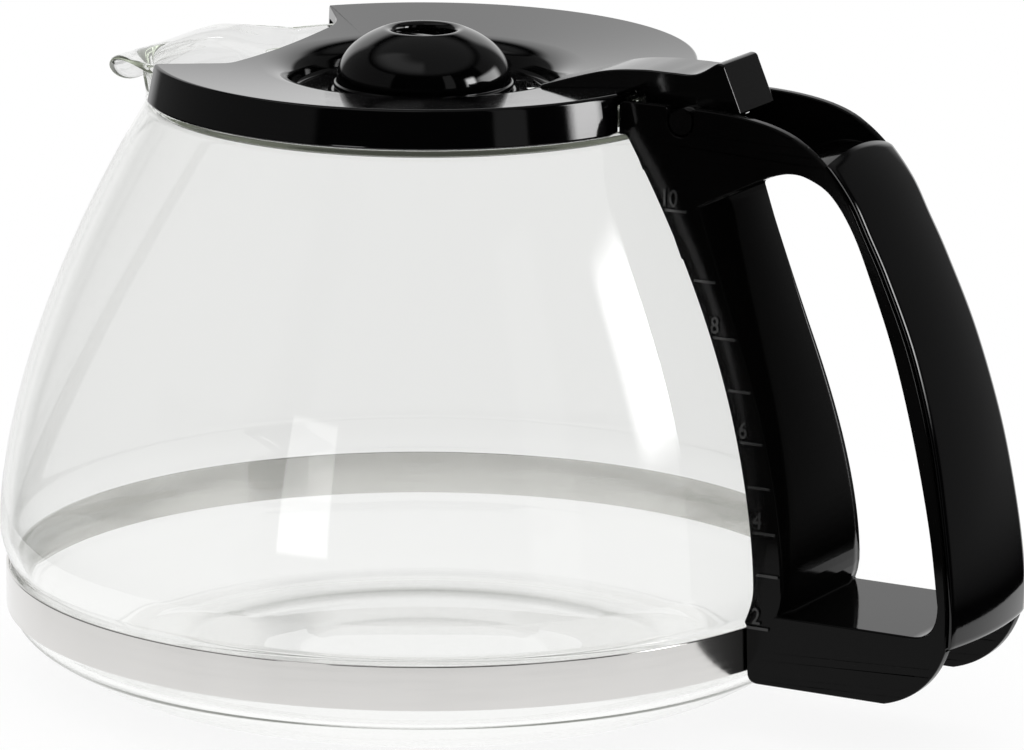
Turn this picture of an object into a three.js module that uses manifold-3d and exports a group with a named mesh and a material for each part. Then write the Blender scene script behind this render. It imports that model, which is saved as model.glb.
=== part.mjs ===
// Glass coffee jug: blown glass body, steel band, two-piece handle and a hinged lid with a drip dome.
// Millimetres, +Z up. The origin is the middle of the flat base. Handle towards +X, spout towards -X.
import * as THREE from 'three';
import { mergeVertices } from 'three/addons/utils/BufferGeometryUtils.js';
import Module from 'manifold-3d';

const wasm = await Module();
wasm.setup();

// Clearances
const FIT = 0.3; // between pieces that touch
const GLASS_GAP = 0.45; // between the handle and the glass
const PIN_PLAY = 0.35; // round the hinge trunnions

// Glass body
const GLASS_R = 75.8; // greatest outer radius
const BELLY_RISE = 7.25; // greatest radius over the band
const GLASS_WALL = 2;
const GLASS_FLOOR = 3.4;
const FLOOR_RING = 0.35; // depth of the moulded rings in the floor
const BASE_R = 52.7; // flat that stands on the hot plate
const SHOULDER_OUT = 3.8; // shoulder outside the neck
const SHOULDER_Z = 102.7;
const BODY_CURVE = 1.68; // how late the wall turns in towards the shoulder
const LEDGE_RISE = 1.8; // ledge round the neck that the lid skirt covers
const NECK_R = 45.8;
const NECK_H = 4.4; // neck above the ledge
const RIM_BEAD = 0.5; // swelling of the fire-polished rim
const SPOUT_HALF_ANGLE = THREE.MathUtils.degToRad(28);
const SPOUT_DEPTH = 12.4; // how far below the rim the spout begins
const SPOUT_DIP = 2.4; // how far the top of the lip lies below the rim
const SPOUT_CURL = THREE.MathUtils.degToRad(170); // how far the lip turns over
const SPOUT_EASE = 1.22; // how late it turns
const GLASS_SIDES = 54;

// Steel band with its two turned-out ends, and the screw that tightens it
const BAND_Z = 12.35;
const BAND_H = 7.9;
const BAND_T = 0.6;
const BAND_RECESS = 1.95; // waist in the glass under the greatest radius
const NUT_W = 8;
const NUT_H = 7;
const NUT_T = 3.4;
const SCREW_R = 1.9;
const SCREW_HEAD_R = 3.5;
const SCREW_HEAD_T = 2.4;
const SCREW_TAIL = 1.5; // thread past the nut

// Handle frame: a moulded channel, open outwards, with two side walls
const HALF_END = 12.2; // half width at the bracket
const HALF_LOW = 15.2; // half width low on the grip, where it is widest
const BULGE_Z = 26.5;
const BULGE_SPREAD = 38;
const SIDE_WALL = 2;
const UPRIGHT_T = 4.6;
const UPRIGHT_FLARE = 2.5; // extra thickness where the upright meets the bracket
const CREST_RISE = 2.8; // raised middle of the upright
const CREST_BEVEL = 4.6;
const WEB_T = 1.9; // skin between the finger hole and the hollows
const GRIP_T = 1.6;
const GRIP_REACH = 34; // widest finger clearance beyond the glass
const FOOT_DROP = 2.05; // foot below the band
const FOOT_ROUND = 11.8; // run of the foot's rounded back corner
const FINGER_RISE = 2.95; // floor of the finger hole over the band
const BRACKET_H = 9.4; // bracket above the finger hole
const BRACKET_DROP = 1.5; // its top below the top of the lid
const BRACKET_OUT = 0.2; // its front outside the neck
const FRONT_WALL = 2.2; // foot wall against the band
const CROSS_WALL = 2.5; // foot wall that the screw head bears on

// Grip cover: the outer plate of the grip
const COVER_T = 1.8;
const COVER_EDGE = 0.5; // thickness at its sides
const COVER_INSET = 0.8;
const COVER_TOP_DROP = 8.3; // its ends below the bracket top and the finger floor
const COVER_END_DROP = 1.6;
const COVER_ARCH = 3.2; // how far the middle of its top end runs on

// Lid
const SKIRT_T = 1.9;
const SKIRT_GAP = 2; // between the neck and the skirt
const SKIRT_TAPER = 1.6; // the skirt is narrower at the top
const LID_T = 2.7;
const LID_FALL = 2.5; // fall of the top towards the trough
const TROUGH_W = 8; // width of the trough round the dome
const TROUGH_Z = 4.2; // depth of the trough under its edge
const COLLAR_T = 1.8;
const COLLAR_H = 5;
const COLLAR_GAP = 0.6;
const NOTCH_SILL = 5; // straight edge of the pouring notch, from the trough
const NOTCH_HALF = 18;
const NOTCH_SLANT = 1.21; // run of its ends, sideways per outward
const NOTCH_ROUND = 4;
const DRAIN_COUNT = 4;
const DRAIN_L = 9;
const DRAIN_W = 3;
const LID_SIDES = 60;

// Drip dome
const DOME_R = 15.5;
const DOME_RISE = 4.6; // over the top of the lid
const DOME_HOLE_R = 5.6;
const DOME_WALL = 1.6;
const DOME_FLANGE = 0.5;
const DOME_FLANGE_T = 0.9;
const DOME_SIDE = 2.1; // upright side over the flange
const DOME_STEM_L = 3.4;
const DOME_SEAT = 0.6; // its seat over the floor of the trough
const DOME_BRIDGE_T = 1;

// Lever and hinge
const HINGE_BACK = 12; // behind the front of the bracket
const HINGE_DROP = 2.6; // below its top
const PIN_R = 2.2;
const BARREL_R = 3.5;
const LEVER_HALF = 6.5;
const LEVER_START = 3; // outside the trough
const LEVER_POCKET = 1;
const LEVER_RISE = 3.2; // over the top of the lid
const THUMB_RISE = 2.6; // over the lever
const THUMB_BACK = 8.3; // behind the hinge
const THUMB_LEAN = 2.9;

// Sizes that follow from these
const SHOULDER_R = NECK_R + SHOULDER_OUT;
const LEDGE_Z = SHOULDER_Z + LEDGE_RISE;
const RIM_Z = LEDGE_Z + NECK_H;
const BAND_SEAT_R = GLASS_R - BAND_RECESS;
const BAND_TOP_Z = BAND_Z + BAND_H;
const GLASS_R_Z = BAND_TOP_Z + BELLY_RISE;
const BAND_IN_R = BAND_SEAT_R + FIT;
const BAND_OUT_R = BAND_IN_R + BAND_T;
const SCREW_Z = BAND_Z + BAND_H / 2;
const FOOT_FRONT_X = BAND_OUT_R + FIT + FRONT_WALL;
const NUT_X = FOOT_FRONT_X + FIT;
const HOOK_X = NUT_X + NUT_T + FIT;
const CROSS_X = HOOK_X + BAND_T + 2 * FIT;
const HEAD_X = CROSS_X + CROSS_WALL + FIT;
const LID_UNDER_Z = RIM_Z + FIT;
const LID_TOP_Z = LID_UNDER_Z + LID_T;
const BRACKET_TOP_Z = LID_TOP_Z - BRACKET_DROP;
const BRACKET_X = NECK_R + BRACKET_OUT;
const FINGER_TOP_Z = BRACKET_TOP_Z - BRACKET_H;
const FINGER_FLOOR_Z = BAND_TOP_Z + FINGER_RISE;
const FOOT_Z = BAND_Z - FOOT_DROP;
const COVER_TOP_Z = BRACKET_TOP_Z - COVER_TOP_DROP;
const COVER_END_Z = FINGER_FLOOR_Z - COVER_END_DROP;
const SKIRT_Z = LEDGE_Z + FIT;
const SKIRT_IN_R = NECK_R + SKIRT_GAP;
const SKIRT_OUT_R = SKIRT_IN_R + SKIRT_T;
const LID_R = SKIRT_OUT_R - SKIRT_TAPER;
const LID_BACK_X = BRACKET_X - 2 * FIT;
const COLLAR_R = NECK_R - GLASS_WALL - COLLAR_GAP;
const SEAT_R = DOME_R + DOME_FLANGE;
const STEM_R = DOME_R - DOME_FLANGE;
const TROUGH_R = SEAT_R + TROUGH_W;
const NOTCH_X = TROUGH_R + NOTCH_SILL;
const TROUGH_EDGE_Z = LID_TOP_Z - LID_FALL;
const TROUGH_FLOOR_Z = TROUGH_EDGE_Z - TROUGH_Z;
const SEAT_Z = TROUGH_FLOOR_Z + DOME_SEAT;
const DOME_TOP_Z = LID_TOP_Z + DOME_RISE;
const HINGE_X = BRACKET_X + HINGE_BACK;
const HINGE_Z = BRACKET_TOP_Z - HINGE_DROP;
const LEVER_FRONT_X = TROUGH_R + LEVER_START;
const LEVER_TOP_Z = LID_TOP_Z + LEVER_RISE;
const THUMB_TOP_Z = LEVER_TOP_Z + THUMB_RISE;
const THUMB_X = HINGE_X + THUMB_BACK;

const point = (x, y) => new THREE.Vector2(x, y);
const mix = THREE.MathUtils.lerp;

// Closed mesh with merged corners and outward faces
function closed(geometry) {
  const bare = geometry.clone();
  bare.deleteAttribute('normal');
  bare.deleteAttribute('uv');
  const merged = mergeVertices(bare, 1e-4);
  const p = merged.attributes.position;
  const corners = [];
  let volume = 0;
  const [a, b, c] = [new THREE.Vector3(), new THREE.Vector3(), new THREE.Vector3()];
  for (let i = 0; i < merged.index.count; i += 3) {
    const [u, v, w] = [0, 1, 2].map((k) => merged.index.getX(i + k));
    if (u === v || v === w || w === u) continue;
    corners.push(u, v, w);
    a.fromBufferAttribute(p, u);
    b.fromBufferAttribute(p, v);
    c.fromBufferAttribute(p, w);
    volume += a.dot(b.cross(c));
  }
  if (volume < 0) corners.reverse();
  merged.setIndex(corners);
  return merged;
}

function solid(geometry) {
  const mesh = closed(geometry);
  return new wasm.Manifold(new wasm.Mesh({
    numProp: 3,
    vertProperties: Float32Array.from(mesh.attributes.position.array),
    triVerts: Uint32Array.from(mesh.index.array),
  }));
}

function shape(body) {
  const mesh = body.getMesh();
  const geometry = new THREE.BufferGeometry();
  geometry.setAttribute('position', new THREE.BufferAttribute(Float32Array.from(mesh.vertProperties), 3));
  geometry.setIndex(new THREE.BufferAttribute(Uint32Array.from(mesh.triVerts), 1));
  return geometry;
}

function moved(geometry, change) {
  const p = geometry.attributes.position;
  const v = new THREE.Vector3();
  for (let i = 0; i < p.count; i += 1) {
    change(v.fromBufferAttribute(p, i));
    p.setXYZ(i, v.x, v.y, v.z);
  }
  return geometry;
}

// Profile of radius and height turned round Z
function turned(profile, sides) {
  return new THREE.LatheGeometry(profile, sides).rotateX(Math.PI / 2);
}

// Outline of X and Z made thick along Y
function plate(outline, y0, y1) {
  const geometry = new THREE.ExtrudeGeometry(new THREE.Shape(outline), { depth: y1 - y0, bevelEnabled: false });
  return geometry.rotateX(Math.PI / 2).translate(0, y1, 0);
}

// Outline of X and Y made tall along Z
function slab(outline, z0, z1) {
  const geometry = new THREE.ExtrudeGeometry(new THREE.Shape(outline), { depth: z1 - z0, bevelEnabled: false });
  return geometry.translate(0, 0, z0);
}

function box(x0, x1, y0, y1, z0, z1) {
  const geometry = new THREE.BoxGeometry(x1 - x0, y1 - y0, z1 - z0);
  return geometry.translate((x0 + x1) / 2, (y0 + y1) / 2, (z0 + z1) / 2);
}

function rodAlongY(x, z, radius, y0, y1, sides = 28) {
  return new THREE.CylinderGeometry(radius, radius, y1 - y0, sides).translate(x, (y0 + y1) / 2, z);
}

function rodAlongX(z, radius, x0, x1, sides = 28) {
  const rod = new THREE.CylinderGeometry(radius, radius, x1 - x0, sides).rotateZ(Math.PI / 2);
  return rod.translate((x0 + x1) / 2, 0, z);
}

// Skin over a row of rings with equal point counts, closed at both ends
function loft(rings) {
  const n = rings[0].length;
  const index = [];
  for (let i = 0; i < rings.length - 1; i += 1) {
    for (let j = 0; j < n; j += 1) {
      const k = (j + 1) % n;
      const [a, b] = [i * n + j, i * n + k];
      index.push(a, b, b + n, a, b + n, a + n);
    }
  }
  const last = (rings.length - 1) * n;
  for (let j = 1; j < n - 1; j += 1) {
    index.push(0, j + 1, j);
    index.push(last, last + j, last + j + 1);
  }
  const geometry = new THREE.BufferGeometry();
  geometry.setAttribute('position', new THREE.Float32BufferAttribute(rings.flat().flatMap((v) => [v.x, v.y, v.z]), 3));
  geometry.setIndex(index);
  return geometry;
}

// Outer radius of the glass wall above the band
function bodyRadius(z) {
  if (z < GLASS_R_Z) {
    const rise = THREE.MathUtils.clamp((z - BAND_TOP_Z - FIT) / (GLASS_R_Z - BAND_TOP_Z - FIT), 0, 1);
    return GLASS_R - BAND_RECESS * (1 - Math.sin((rise * Math.PI) / 2));
  }
  const f = Math.min((z - GLASS_R_Z) / (SHOULDER_Z - GLASS_R_Z), 1);
  return GLASS_R - (GLASS_R - SHOULDER_R) * f ** BODY_CURVE;
}

// Outer side of the glass from the edge of the flat base to the ledge under the lid, moved out by a gap
function glassOutside(gap, steps) {
  const seat = point(BAND_SEAT_R, BAND_Z - FIT);
  const part = (out, up) => point(mix(BASE_R, seat.x, out), seat.y * up);
  const heel = new THREE.QuadraticBezierCurve(part(0, 0), part(0.292, 0), part(0.822, 0.616));
  const turn = new THREE.QuadraticBezierCurve(part(0.822, 0.616), part(0.979, 0.786), seat);
  const line = [...heel.getPoints(4), ...turn.getPoints(3).slice(1)];
  const z0 = BAND_TOP_Z + FIT;
  for (let i = 0; i <= steps; i += 1) {
    const z = i < 3 ? mix(z0, GLASS_R_Z, i / 3) : mix(GLASS_R_Z, SHOULDER_Z, (i - 3) / (steps - 3));
    line.push(point(bodyRadius(z), z));
  }
  const ledge = new THREE.QuadraticBezierCurve(point(SHOULDER_R, SHOULDER_Z), point(SHOULDER_R - 0.8, LEDGE_Z), point(NECK_R + 0.8, LEDGE_Z));
  line.push(...ledge.getPoints(2).slice(1));
  return line.map((v) => point(v.x + gap, v.y));
}

// Middle of the wall after a share of its way up the spout, for a share of the full curl
function spoutLine(part, curl) {
  const n = 24;
  let [x, z, top] = [0, 0, 0];
  for (let i = 0; i < n; i += 1) {
    const lean = SPOUT_CURL * curl * (((i + 0.5) / n) * part) ** SPOUT_EASE;
    x += (Math.sin(lean) * part) / n;
    z += (Math.cos(lean) * part) / n;
    top = Math.max(top, z);
  }
  return { x, z, top };
}

// The wall leans out and its lip rolls over, most of all in the middle of the spout
function drawSpout(geometry) {
  const root = RIM_Z - SPOUT_DEPTH;
  const middle = NECK_R - GLASS_WALL / 2;
  return moved(geometry, (v) => {
    const angle = Math.atan2(v.y, -v.x);
    const turn = Math.abs(angle) / SPOUT_HALF_ANGLE;
    if (v.z < root || turn >= 1) return;
    const curl = Math.cos((turn * Math.PI) / 2) ** 0.85;
    const part = (v.z - root) / SPOUT_DEPTH;
    const at = spoutLine(part, curl);
    const size = (SPOUT_DEPTH - SPOUT_DIP * curl ** 4) / spoutLine(1, curl).top;
    const lean = SPOUT_CURL * curl * part ** SPOUT_EASE;
    const off = Math.hypot(v.x, v.y) - middle;
    const radius = middle + at.x * size + off * Math.cos(lean);
    v.set(-radius * Math.cos(angle), radius * Math.sin(angle), root + at.z * size - off * Math.sin(lean));
  });
}

// Inner side of the glass, from the neck down to the middle of the floor
function glassInside() {
  const w = GLASS_WALL;
  const line = [];
  for (let i = 0; i <= 4; i += 1) {
    line.push(point(NECK_R - w, mix(RIM_Z - 0.9, LEDGE_Z - 0.6, i / 4)));
  }
  line.push(point(SHOULDER_R - w - 0.3, SHOULDER_Z - 1.6));
  const top = SHOULDER_Z - 5;
  for (let i = 0; i <= 8; i += 1) {
    const z = mix(top, GLASS_R_Z, i / 8);
    line.push(point(bodyRadius(z) - w * 1.08, z));
  }
  const corner = new THREE.QuadraticBezierCurve(
    point(BAND_SEAT_R - w, BAND_TOP_Z),
    point(BAND_SEAT_R - w, GLASS_FLOOR + 1.2),
    point(BASE_R + 3, GLASS_FLOOR),
  );
  line.push(...corner.getPoints(4));
  for (const part of [0.84, 0.46]) {
    line.push(point(BASE_R * part, GLASS_FLOOR));
    line.push(point(BASE_R * part - 1, GLASS_FLOOR - FLOOR_RING));
    line.push(point(BASE_R * part - 4, GLASS_FLOOR - FLOOR_RING));
    line.push(point(BASE_R * part - 5, GLASS_FLOOR));
  }
  line.push(point(0, GLASS_FLOOR));
  return line;
}

function glassBody() {
  const outside = [point(0, 0), ...glassOutside(0, 14)];
  for (let i = 0; i <= 2; i += 1) {
    outside.push(point(NECK_R, mix(LEDGE_Z + 0.9, RIM_Z - 2.2, i / 2)));
  }
  const rim = [
    point(NECK_R + RIM_BEAD, RIM_Z - 1.2),
    point(NECK_R + RIM_BEAD / 2, RIM_Z - 0.3),
    point(NECK_R - GLASS_WALL / 2, RIM_Z),
  ];
  return drawSpout(closed(turned([...outside, ...rim, ...glassInside()], GLASS_SIDES)));
}

// Strap round the waist; both ends turn out into the foot and hook behind the nut
function steelBand() {
  const side = NUT_W / 2 + FIT;
  const hook = SCREW_R + 2 * FIT;
  const a0 = Math.asin((side + BAND_T) / BAND_OUT_R);
  const a1 = Math.asin(side / BAND_IN_R);
  const out = [];
  const inn = [];
  const n = 96;
  for (let i = 0; i <= n; i += 1) {
    const f = i / n;
    const outer = mix(a0, 2 * Math.PI - a0, f);
    const inner = mix(a1, 2 * Math.PI - a1, f);
    out.push(point(BAND_OUT_R * Math.cos(outer), BAND_OUT_R * Math.sin(outer)));
    inn.push(point(BAND_IN_R * Math.cos(inner), BAND_IN_R * Math.sin(inner)));
  }
  const near = [point(HOOK_X + BAND_T, hook), point(HOOK_X + BAND_T, side + BAND_T)];
  const far = [point(HOOK_X + BAND_T, -side - BAND_T), point(HOOK_X + BAND_T, -hook)];
  const back = [point(HOOK_X, -hook), point(HOOK_X, -side)];
  const start = [point(HOOK_X, side), point(HOOK_X, hook)];
  return slab([...near, ...out, ...far, ...back, ...inn.reverse(), ...start], BAND_Z, BAND_TOP_Z);
}

function clampNut() {
  const block = solid(box(NUT_X, NUT_X + NUT_T, -NUT_W / 2, NUT_W / 2, SCREW_Z - NUT_H / 2, SCREW_Z + NUT_H / 2));
  const bore = solid(rodAlongX(SCREW_Z, SCREW_R + FIT / 2, NUT_X - 1, NUT_X + NUT_T + 1));
  return shape(block.subtract(bore));
}

function clampScrew() {
  const tail = NUT_X - SCREW_TAIL;
  const shank = solid(rodAlongX(SCREW_Z, SCREW_R, tail, HEAD_X + 0.5));
  const head = solid(rodAlongX(SCREW_Z, SCREW_HEAD_R, HEAD_X, HEAD_X + SCREW_HEAD_T));
  const end = HEAD_X + SCREW_HEAD_T;
  const depth = SCREW_HEAD_T * 0.6;
  const half = SCREW_HEAD_R * 0.6;
  const slot = solid(box(end - depth, end + 1, -half, half, SCREW_Z - 0.5, SCREW_Z + 0.5));
  const cross = solid(box(end - depth, end + 1, -0.5, 0.5, SCREW_Z - half, SCREW_Z + half));
  return shape(shank.add(head).subtract(slot).subtract(cross));
}

function halfWidth(z) {
  return HALF_END + (HALF_LOW - HALF_END) * Math.exp(-(((z - BULGE_Z) / BULGE_SPREAD) ** 2));
}

// Share of the finger hole's height below a height
function fingerShare(z) {
  return (z - FINGER_FLOOR_Z) / (FINGER_TOP_Z - FINGER_FLOOR_Z);
}

// Flat outer face of the upright beside the glass
function uprightFace(z) {
  const flare = Math.max(0, (fingerShare(z) - 0.5455) / 0.3585) ** 2;
  return bodyRadius(z) + UPRIGHT_T + UPRIGHT_FLARE * flare;
}

// Point of the grip: share of the reach that is lost, and share of the finger hole's height
function gripPoint([loss, share], out = 0) {
  return point(GLASS_R + GRIP_REACH * (1 - loss) + out, mix(FINGER_FLOOR_Z, FINGER_TOP_Z, share));
}

// Finger side of the grip, from the floor of the finger hole to the bracket
function gripInside() {
  const line = [
    [-0.0177, 0.0768], [0.0397, 0.2382], [0.1471, 0.4302], [0.2824, 0.6223], [0.4236, 0.7785],
    [0.5382, 0.8886], [0.6617, 0.9629], [0.7941, 0.9949], [0.9, 1], [1.0059, 0.9885],
  ];
  return new THREE.SplineCurve(line.map((at) => gripPoint(at))).getPoints(44);
}

// Outer edge of the handle, from the bracket top to the end of the grip
function gripOutside() {
  const x = GLASS_R + GRIP_REACH;
  const shoulder = [
    point(x - GRIP_REACH * 1.0824, BRACKET_TOP_Z),
    point(x - GRIP_REACH * 0.8795, BRACKET_TOP_Z - BRACKET_H * 0.3191),
    point(x - GRIP_REACH * 0.7618 + GRIP_T, BRACKET_TOP_Z - BRACKET_H * 0.8298 + GRIP_T / 2),
  ];
  const line = [
    [0.6147, 0.9556], [0.5147, 0.8758], [0.4059, 0.7836], [0.247, 0.6248],
    [0.1118, 0.4328], [0.025, 0.2407], [-0.022, 0.0768], [-0.0185, -0.025],
  ];
  return new THREE.SplineCurve([...shoulder, ...line.map((at) => gripPoint(at, GRIP_T))]);
}

function frameOutline() {
  const edge = gripOutside().getPoints(44);
  const end = edge.at(-1);
  const turn = point(end.x - FOOT_ROUND / 4, FOOT_Z + FOOT_ROUND / 5);
  const heel = new THREE.QuadraticBezierCurve(end, turn, point(end.x - FOOT_ROUND, FOOT_Z)).getPoints(8);
  const front = BASE_R;
  const shoulder = LEDGE_Z + FIT;
  return [
    point(BRACKET_X, shoulder),
    point(BRACKET_X, BRACKET_TOP_Z - 0.6),
    point(BRACKET_X + 0.6, BRACKET_TOP_Z),
    ...edge,
    ...heel.slice(1),
    point(front, FOOT_Z),
  ];
}

function fingerOutline() {
  const grip = gripInside();
  const corner = new THREE.QuadraticBezierCurve(
    point(grip[0].x - 5, FINGER_FLOOR_Z),
    point(grip[0].x, FINGER_FLOOR_Z),
    grip[0],
  ).getPoints(5);
  const wall = [];
  const top = FINGER_TOP_Z - 7.6;
  for (let i = 0; i <= 12; i += 1) {
    const z = mix(top, FINGER_FLOOR_Z, i / 12);
    wall.push(point(uprightFace(z), z));
  }
  return [...wall, ...corner, ...grip.slice(1)];
}

// Hollow of the bracket, open at the top for the lever
function bracketHollow() {
  const grip = gripInside().filter((v) => v.y > FINGER_TOP_Z - 3.2).reverse();
  const roof = grip.map((v, i) => {
    const next = grip[Math.min(i + 1, grip.length - 1)];
    const prev = grip[Math.max(i - 1, 0)];
    const along = next.clone().sub(prev).normalize();
    return point(v.x - along.y * WEB_T, v.y + along.x * WEB_T);
  });
  const low = FINGER_TOP_Z - 7.6 + WEB_T;
  const x = uprightFace(low);
  const over = BRACKET_TOP_Z + 9;
  const glass = bodyRadius(low) + GLASS_GAP + WEB_T;
  const out = roof.at(-1);
  return [
    point(BRACKET_X - 9, over),
    point(BRACKET_X - 9, LEDGE_Z + WEB_T + GLASS_GAP),
    point(SHOULDER_R + GLASS_GAP, LEDGE_Z + WEB_T + GLASS_GAP),
    point(glass + 1.4, low + 0.6),
    point(x, low),
    ...roof,
    point(out.x + 9, out.y + 5),
    point(out.x + 9, over),
  ];
}

// Hollow of the foot behind the screw, open below and at the back
function footHollow() {
  const x = GLASS_R + GRIP_REACH;
  const roof = FINGER_FLOOR_Z - WEB_T;
  return [
    point(CROSS_X + CROSS_WALL, FOOT_Z - 5),
    point(x + 9, FOOT_Z - 5),
    point(x + 9, COVER_END_Z - FIT),
    point(x + 0.8, COVER_END_Z - FIT),
    point(x - 1, roof + 0.3),
    point(x - 3.6, roof),
    point(CROSS_X + CROSS_WALL, roof),
  ];
}

// Raised middle of the upright
function uprightCrest() {
  const rings = [];
  const top = FINGER_TOP_Z - 6;
  for (let i = 0; i <= 16; i += 1) {
    const z = mix(FINGER_FLOOR_Z - WEB_T / 2, top, i / 16);
    const y0 = HALF_END;
    const y1 = HALF_END - CREST_BEVEL * mix(1, 1.3, i / 16) * (HALF_END / halfWidth(z));
    const x0 = uprightFace(z) - 0.5;
    const x1 = uprightFace(z) + CREST_RISE * mix(0.25, 1.3, i / 16);
    rings.push([[x0, -y0], [x1, -y1], [x1, y1], [x0, y0]].map(([x, y]) => new THREE.Vector3(x, y, z)));
  }
  return loft(rings);
}

function handleFrame() {
  const inner = HALF_END - SIDE_WALL;
  const slotR = PIN_R + PIN_PLAY;
  const wide = HALF_END + 1;
  let body = solid(plate(frameOutline(), -HALF_END, HALF_END));
  body = body.subtract(solid(plate(fingerOutline(), -wide, wide)));
  body = body.add(solid(uprightCrest()));
  body = body.subtract(solid(plate(bracketHollow(), -inner, inner)));
  body = body.subtract(solid(plate(footHollow(), -inner, inner)));
  const roof = FINGER_FLOOR_Z - WEB_T;
  body = body.subtract(solid(box(FOOT_FRONT_X, CROSS_X, -inner, inner, FOOT_Z - 5, roof)));
  body = body.subtract(solid(rodAlongX(SCREW_Z, SCREW_R + FIT, CROSS_X - 1, CROSS_X + CROSS_WALL + 1)));
  const window = NUT_W / 2 + BAND_T + 2 * FIT;
  body = body.subtract(solid(box(BASE_R, FOOT_FRONT_X + 1, -window, window, BAND_Z - FIT, BAND_TOP_Z + FIT)));
  body = body.subtract(solid(rodAlongY(HINGE_X, HINGE_Z, slotR, -wide, wide)));
  body = body.subtract(solid(box(HINGE_X - slotR, HINGE_X + slotR, -wide, wide, HINGE_Z, BRACKET_TOP_Z + 5)));
  const bulged = moved(shape(body), (v) => {
    v.y *= halfWidth(v.z) / HALF_END;
  });
  const seat = BAND_OUT_R + FIT;
  const room = glassOutside(GLASS_GAP, 14).map((v) => (v.y <= BAND_Z ? point(Math.max(v.x, seat), v.y) : v));
  const low = [point(0, -9), point(seat, -9), point(seat, BAND_TOP_Z + 2 * FIT)];
  const wall = room.filter((v) => v.y > BAND_TOP_Z + 2 * FIT);
  const neck = [point(NECK_R + RIM_BEAD + GLASS_GAP / 2, LEDGE_Z + GLASS_GAP / 2), point(NECK_R + RIM_BEAD + GLASS_GAP / 2, RIM_Z + 9)];
  const clear = solid(turned([...low, ...wall, ...neck, point(0, RIM_Z + 9)], GLASS_SIDES));
  return shape(solid(bulged).subtract(clear));
}

// Plate over the outside of the grip, crowned, with an arched top end
function gripCover() {
  const curve = gripOutside();
  const all = curve.getPoints(160);
  const path = all.filter((v) => v.y <= COVER_TOP_Z && v.y >= COVER_END_Z);
  const picks = Array.from({ length: 25 }, (_, i) => Math.round((i * (path.length - 1)) / 24));
  const rings = picks.map((k, i) => {
    const at = path[k];
    const along = path[Math.min(k + 1, path.length - 1)].clone().sub(path[Math.max(k - 1, 0)]).normalize();
    const out = point(-along.y, along.x);
    const h = halfWidth(at.y) - COVER_INSET;
    const crown = [-1, -0.85, -0.6, -0.3, 0, 0.3, 0.6, 0.85, 1].map((side) => [side, mix(COVER_T, COVER_EDGE, side ** 2)]);
    return [[-1, 0], ...crown, [1, 0], [0, 0]].map(([side, rise]) => {
      const off = FIT + rise;
      const slide = i === 0 ? -COVER_ARCH * (1 - side * side) : 0;
      return new THREE.Vector3(at.x + out.x * off + along.x * slide, side * h, at.y + out.y * off + along.y * slide);
    });
  });
  return closed(loft(rings));
}

// Height of the lid's sloping top at a radius
function lidTop(radius) {
  return mix(TROUGH_EDGE_Z, LID_TOP_Z, (radius - TROUGH_R) / (LID_R - TROUGH_R));
}

function lidProfile() {
  const edge = SKIRT_OUT_R - SKIRT_TAPER;
  const floor = TROUGH_FLOOR_Z - 1.5;
  return [
    point(SKIRT_IN_R, SKIRT_Z + 0.3),
    point(SKIRT_OUT_R - 0.7, SKIRT_Z),
    point(SKIRT_OUT_R - 0.1, SKIRT_Z + 0.4),
    point(SKIRT_OUT_R, SKIRT_Z + 1.1),
    point(edge + 0.35, LID_TOP_Z - 0.6),
    point(edge - 0.2, LID_TOP_Z - 0.05),
    point(TROUGH_R + 0.7, TROUGH_EDGE_Z + 0.08),
    point(TROUGH_R, TROUGH_EDGE_Z - 0.3),
    point(TROUGH_R - 0.5, TROUGH_EDGE_Z - 1.2),
    point(TROUGH_R - 0.8, TROUGH_FLOOR_Z),
    point(SEAT_R + 0.8, TROUGH_FLOOR_Z),
    point(SEAT_R + 0.5, SEAT_Z),
    point(STEM_R + FIT, SEAT_Z),
    point(STEM_R + FIT, floor),
    point(TROUGH_R + 0.8, floor),
    point(TROUGH_R + 1.4, TROUGH_EDGE_Z - LID_T),
    point(COLLAR_R - COLLAR_T, lidTop(COLLAR_R - COLLAR_T) - LID_T),
    point(COLLAR_R - COLLAR_T, LID_UNDER_Z - COLLAR_H),
    point(COLLAR_R, LID_UNDER_Z - COLLAR_H),
    point(COLLAR_R, LID_UNDER_Z),
    point(SKIRT_IN_R, LID_UNDER_Z),
    point(SKIRT_IN_R, SKIRT_Z + 0.3),
  ];
}

// Pouring notch seen from above
function notchOutline() {
  const far = SKIRT_OUT_R + 12;
  const run = far - NOTCH_X;
  const end = NOTCH_HALF + run * NOTCH_SLANT;
  const slope = Math.hypot(1, NOTCH_SLANT);
  const cut = NOTCH_ROUND / slope;
  const outline = new THREE.Shape();
  outline.moveTo(-far, -end);
  outline.lineTo(-NOTCH_X - cut, -NOTCH_HALF - cut * NOTCH_SLANT);
  outline.quadraticCurveTo(-NOTCH_X, -NOTCH_HALF, -NOTCH_X, -NOTCH_HALF + NOTCH_ROUND);
  outline.lineTo(-NOTCH_X, NOTCH_HALF - NOTCH_ROUND);
  outline.quadraticCurveTo(-NOTCH_X, NOTCH_HALF, -NOTCH_X - cut, NOTCH_HALF + cut * NOTCH_SLANT);
  outline.lineTo(-far, end);
  return outline.getPoints(4);
}

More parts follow.
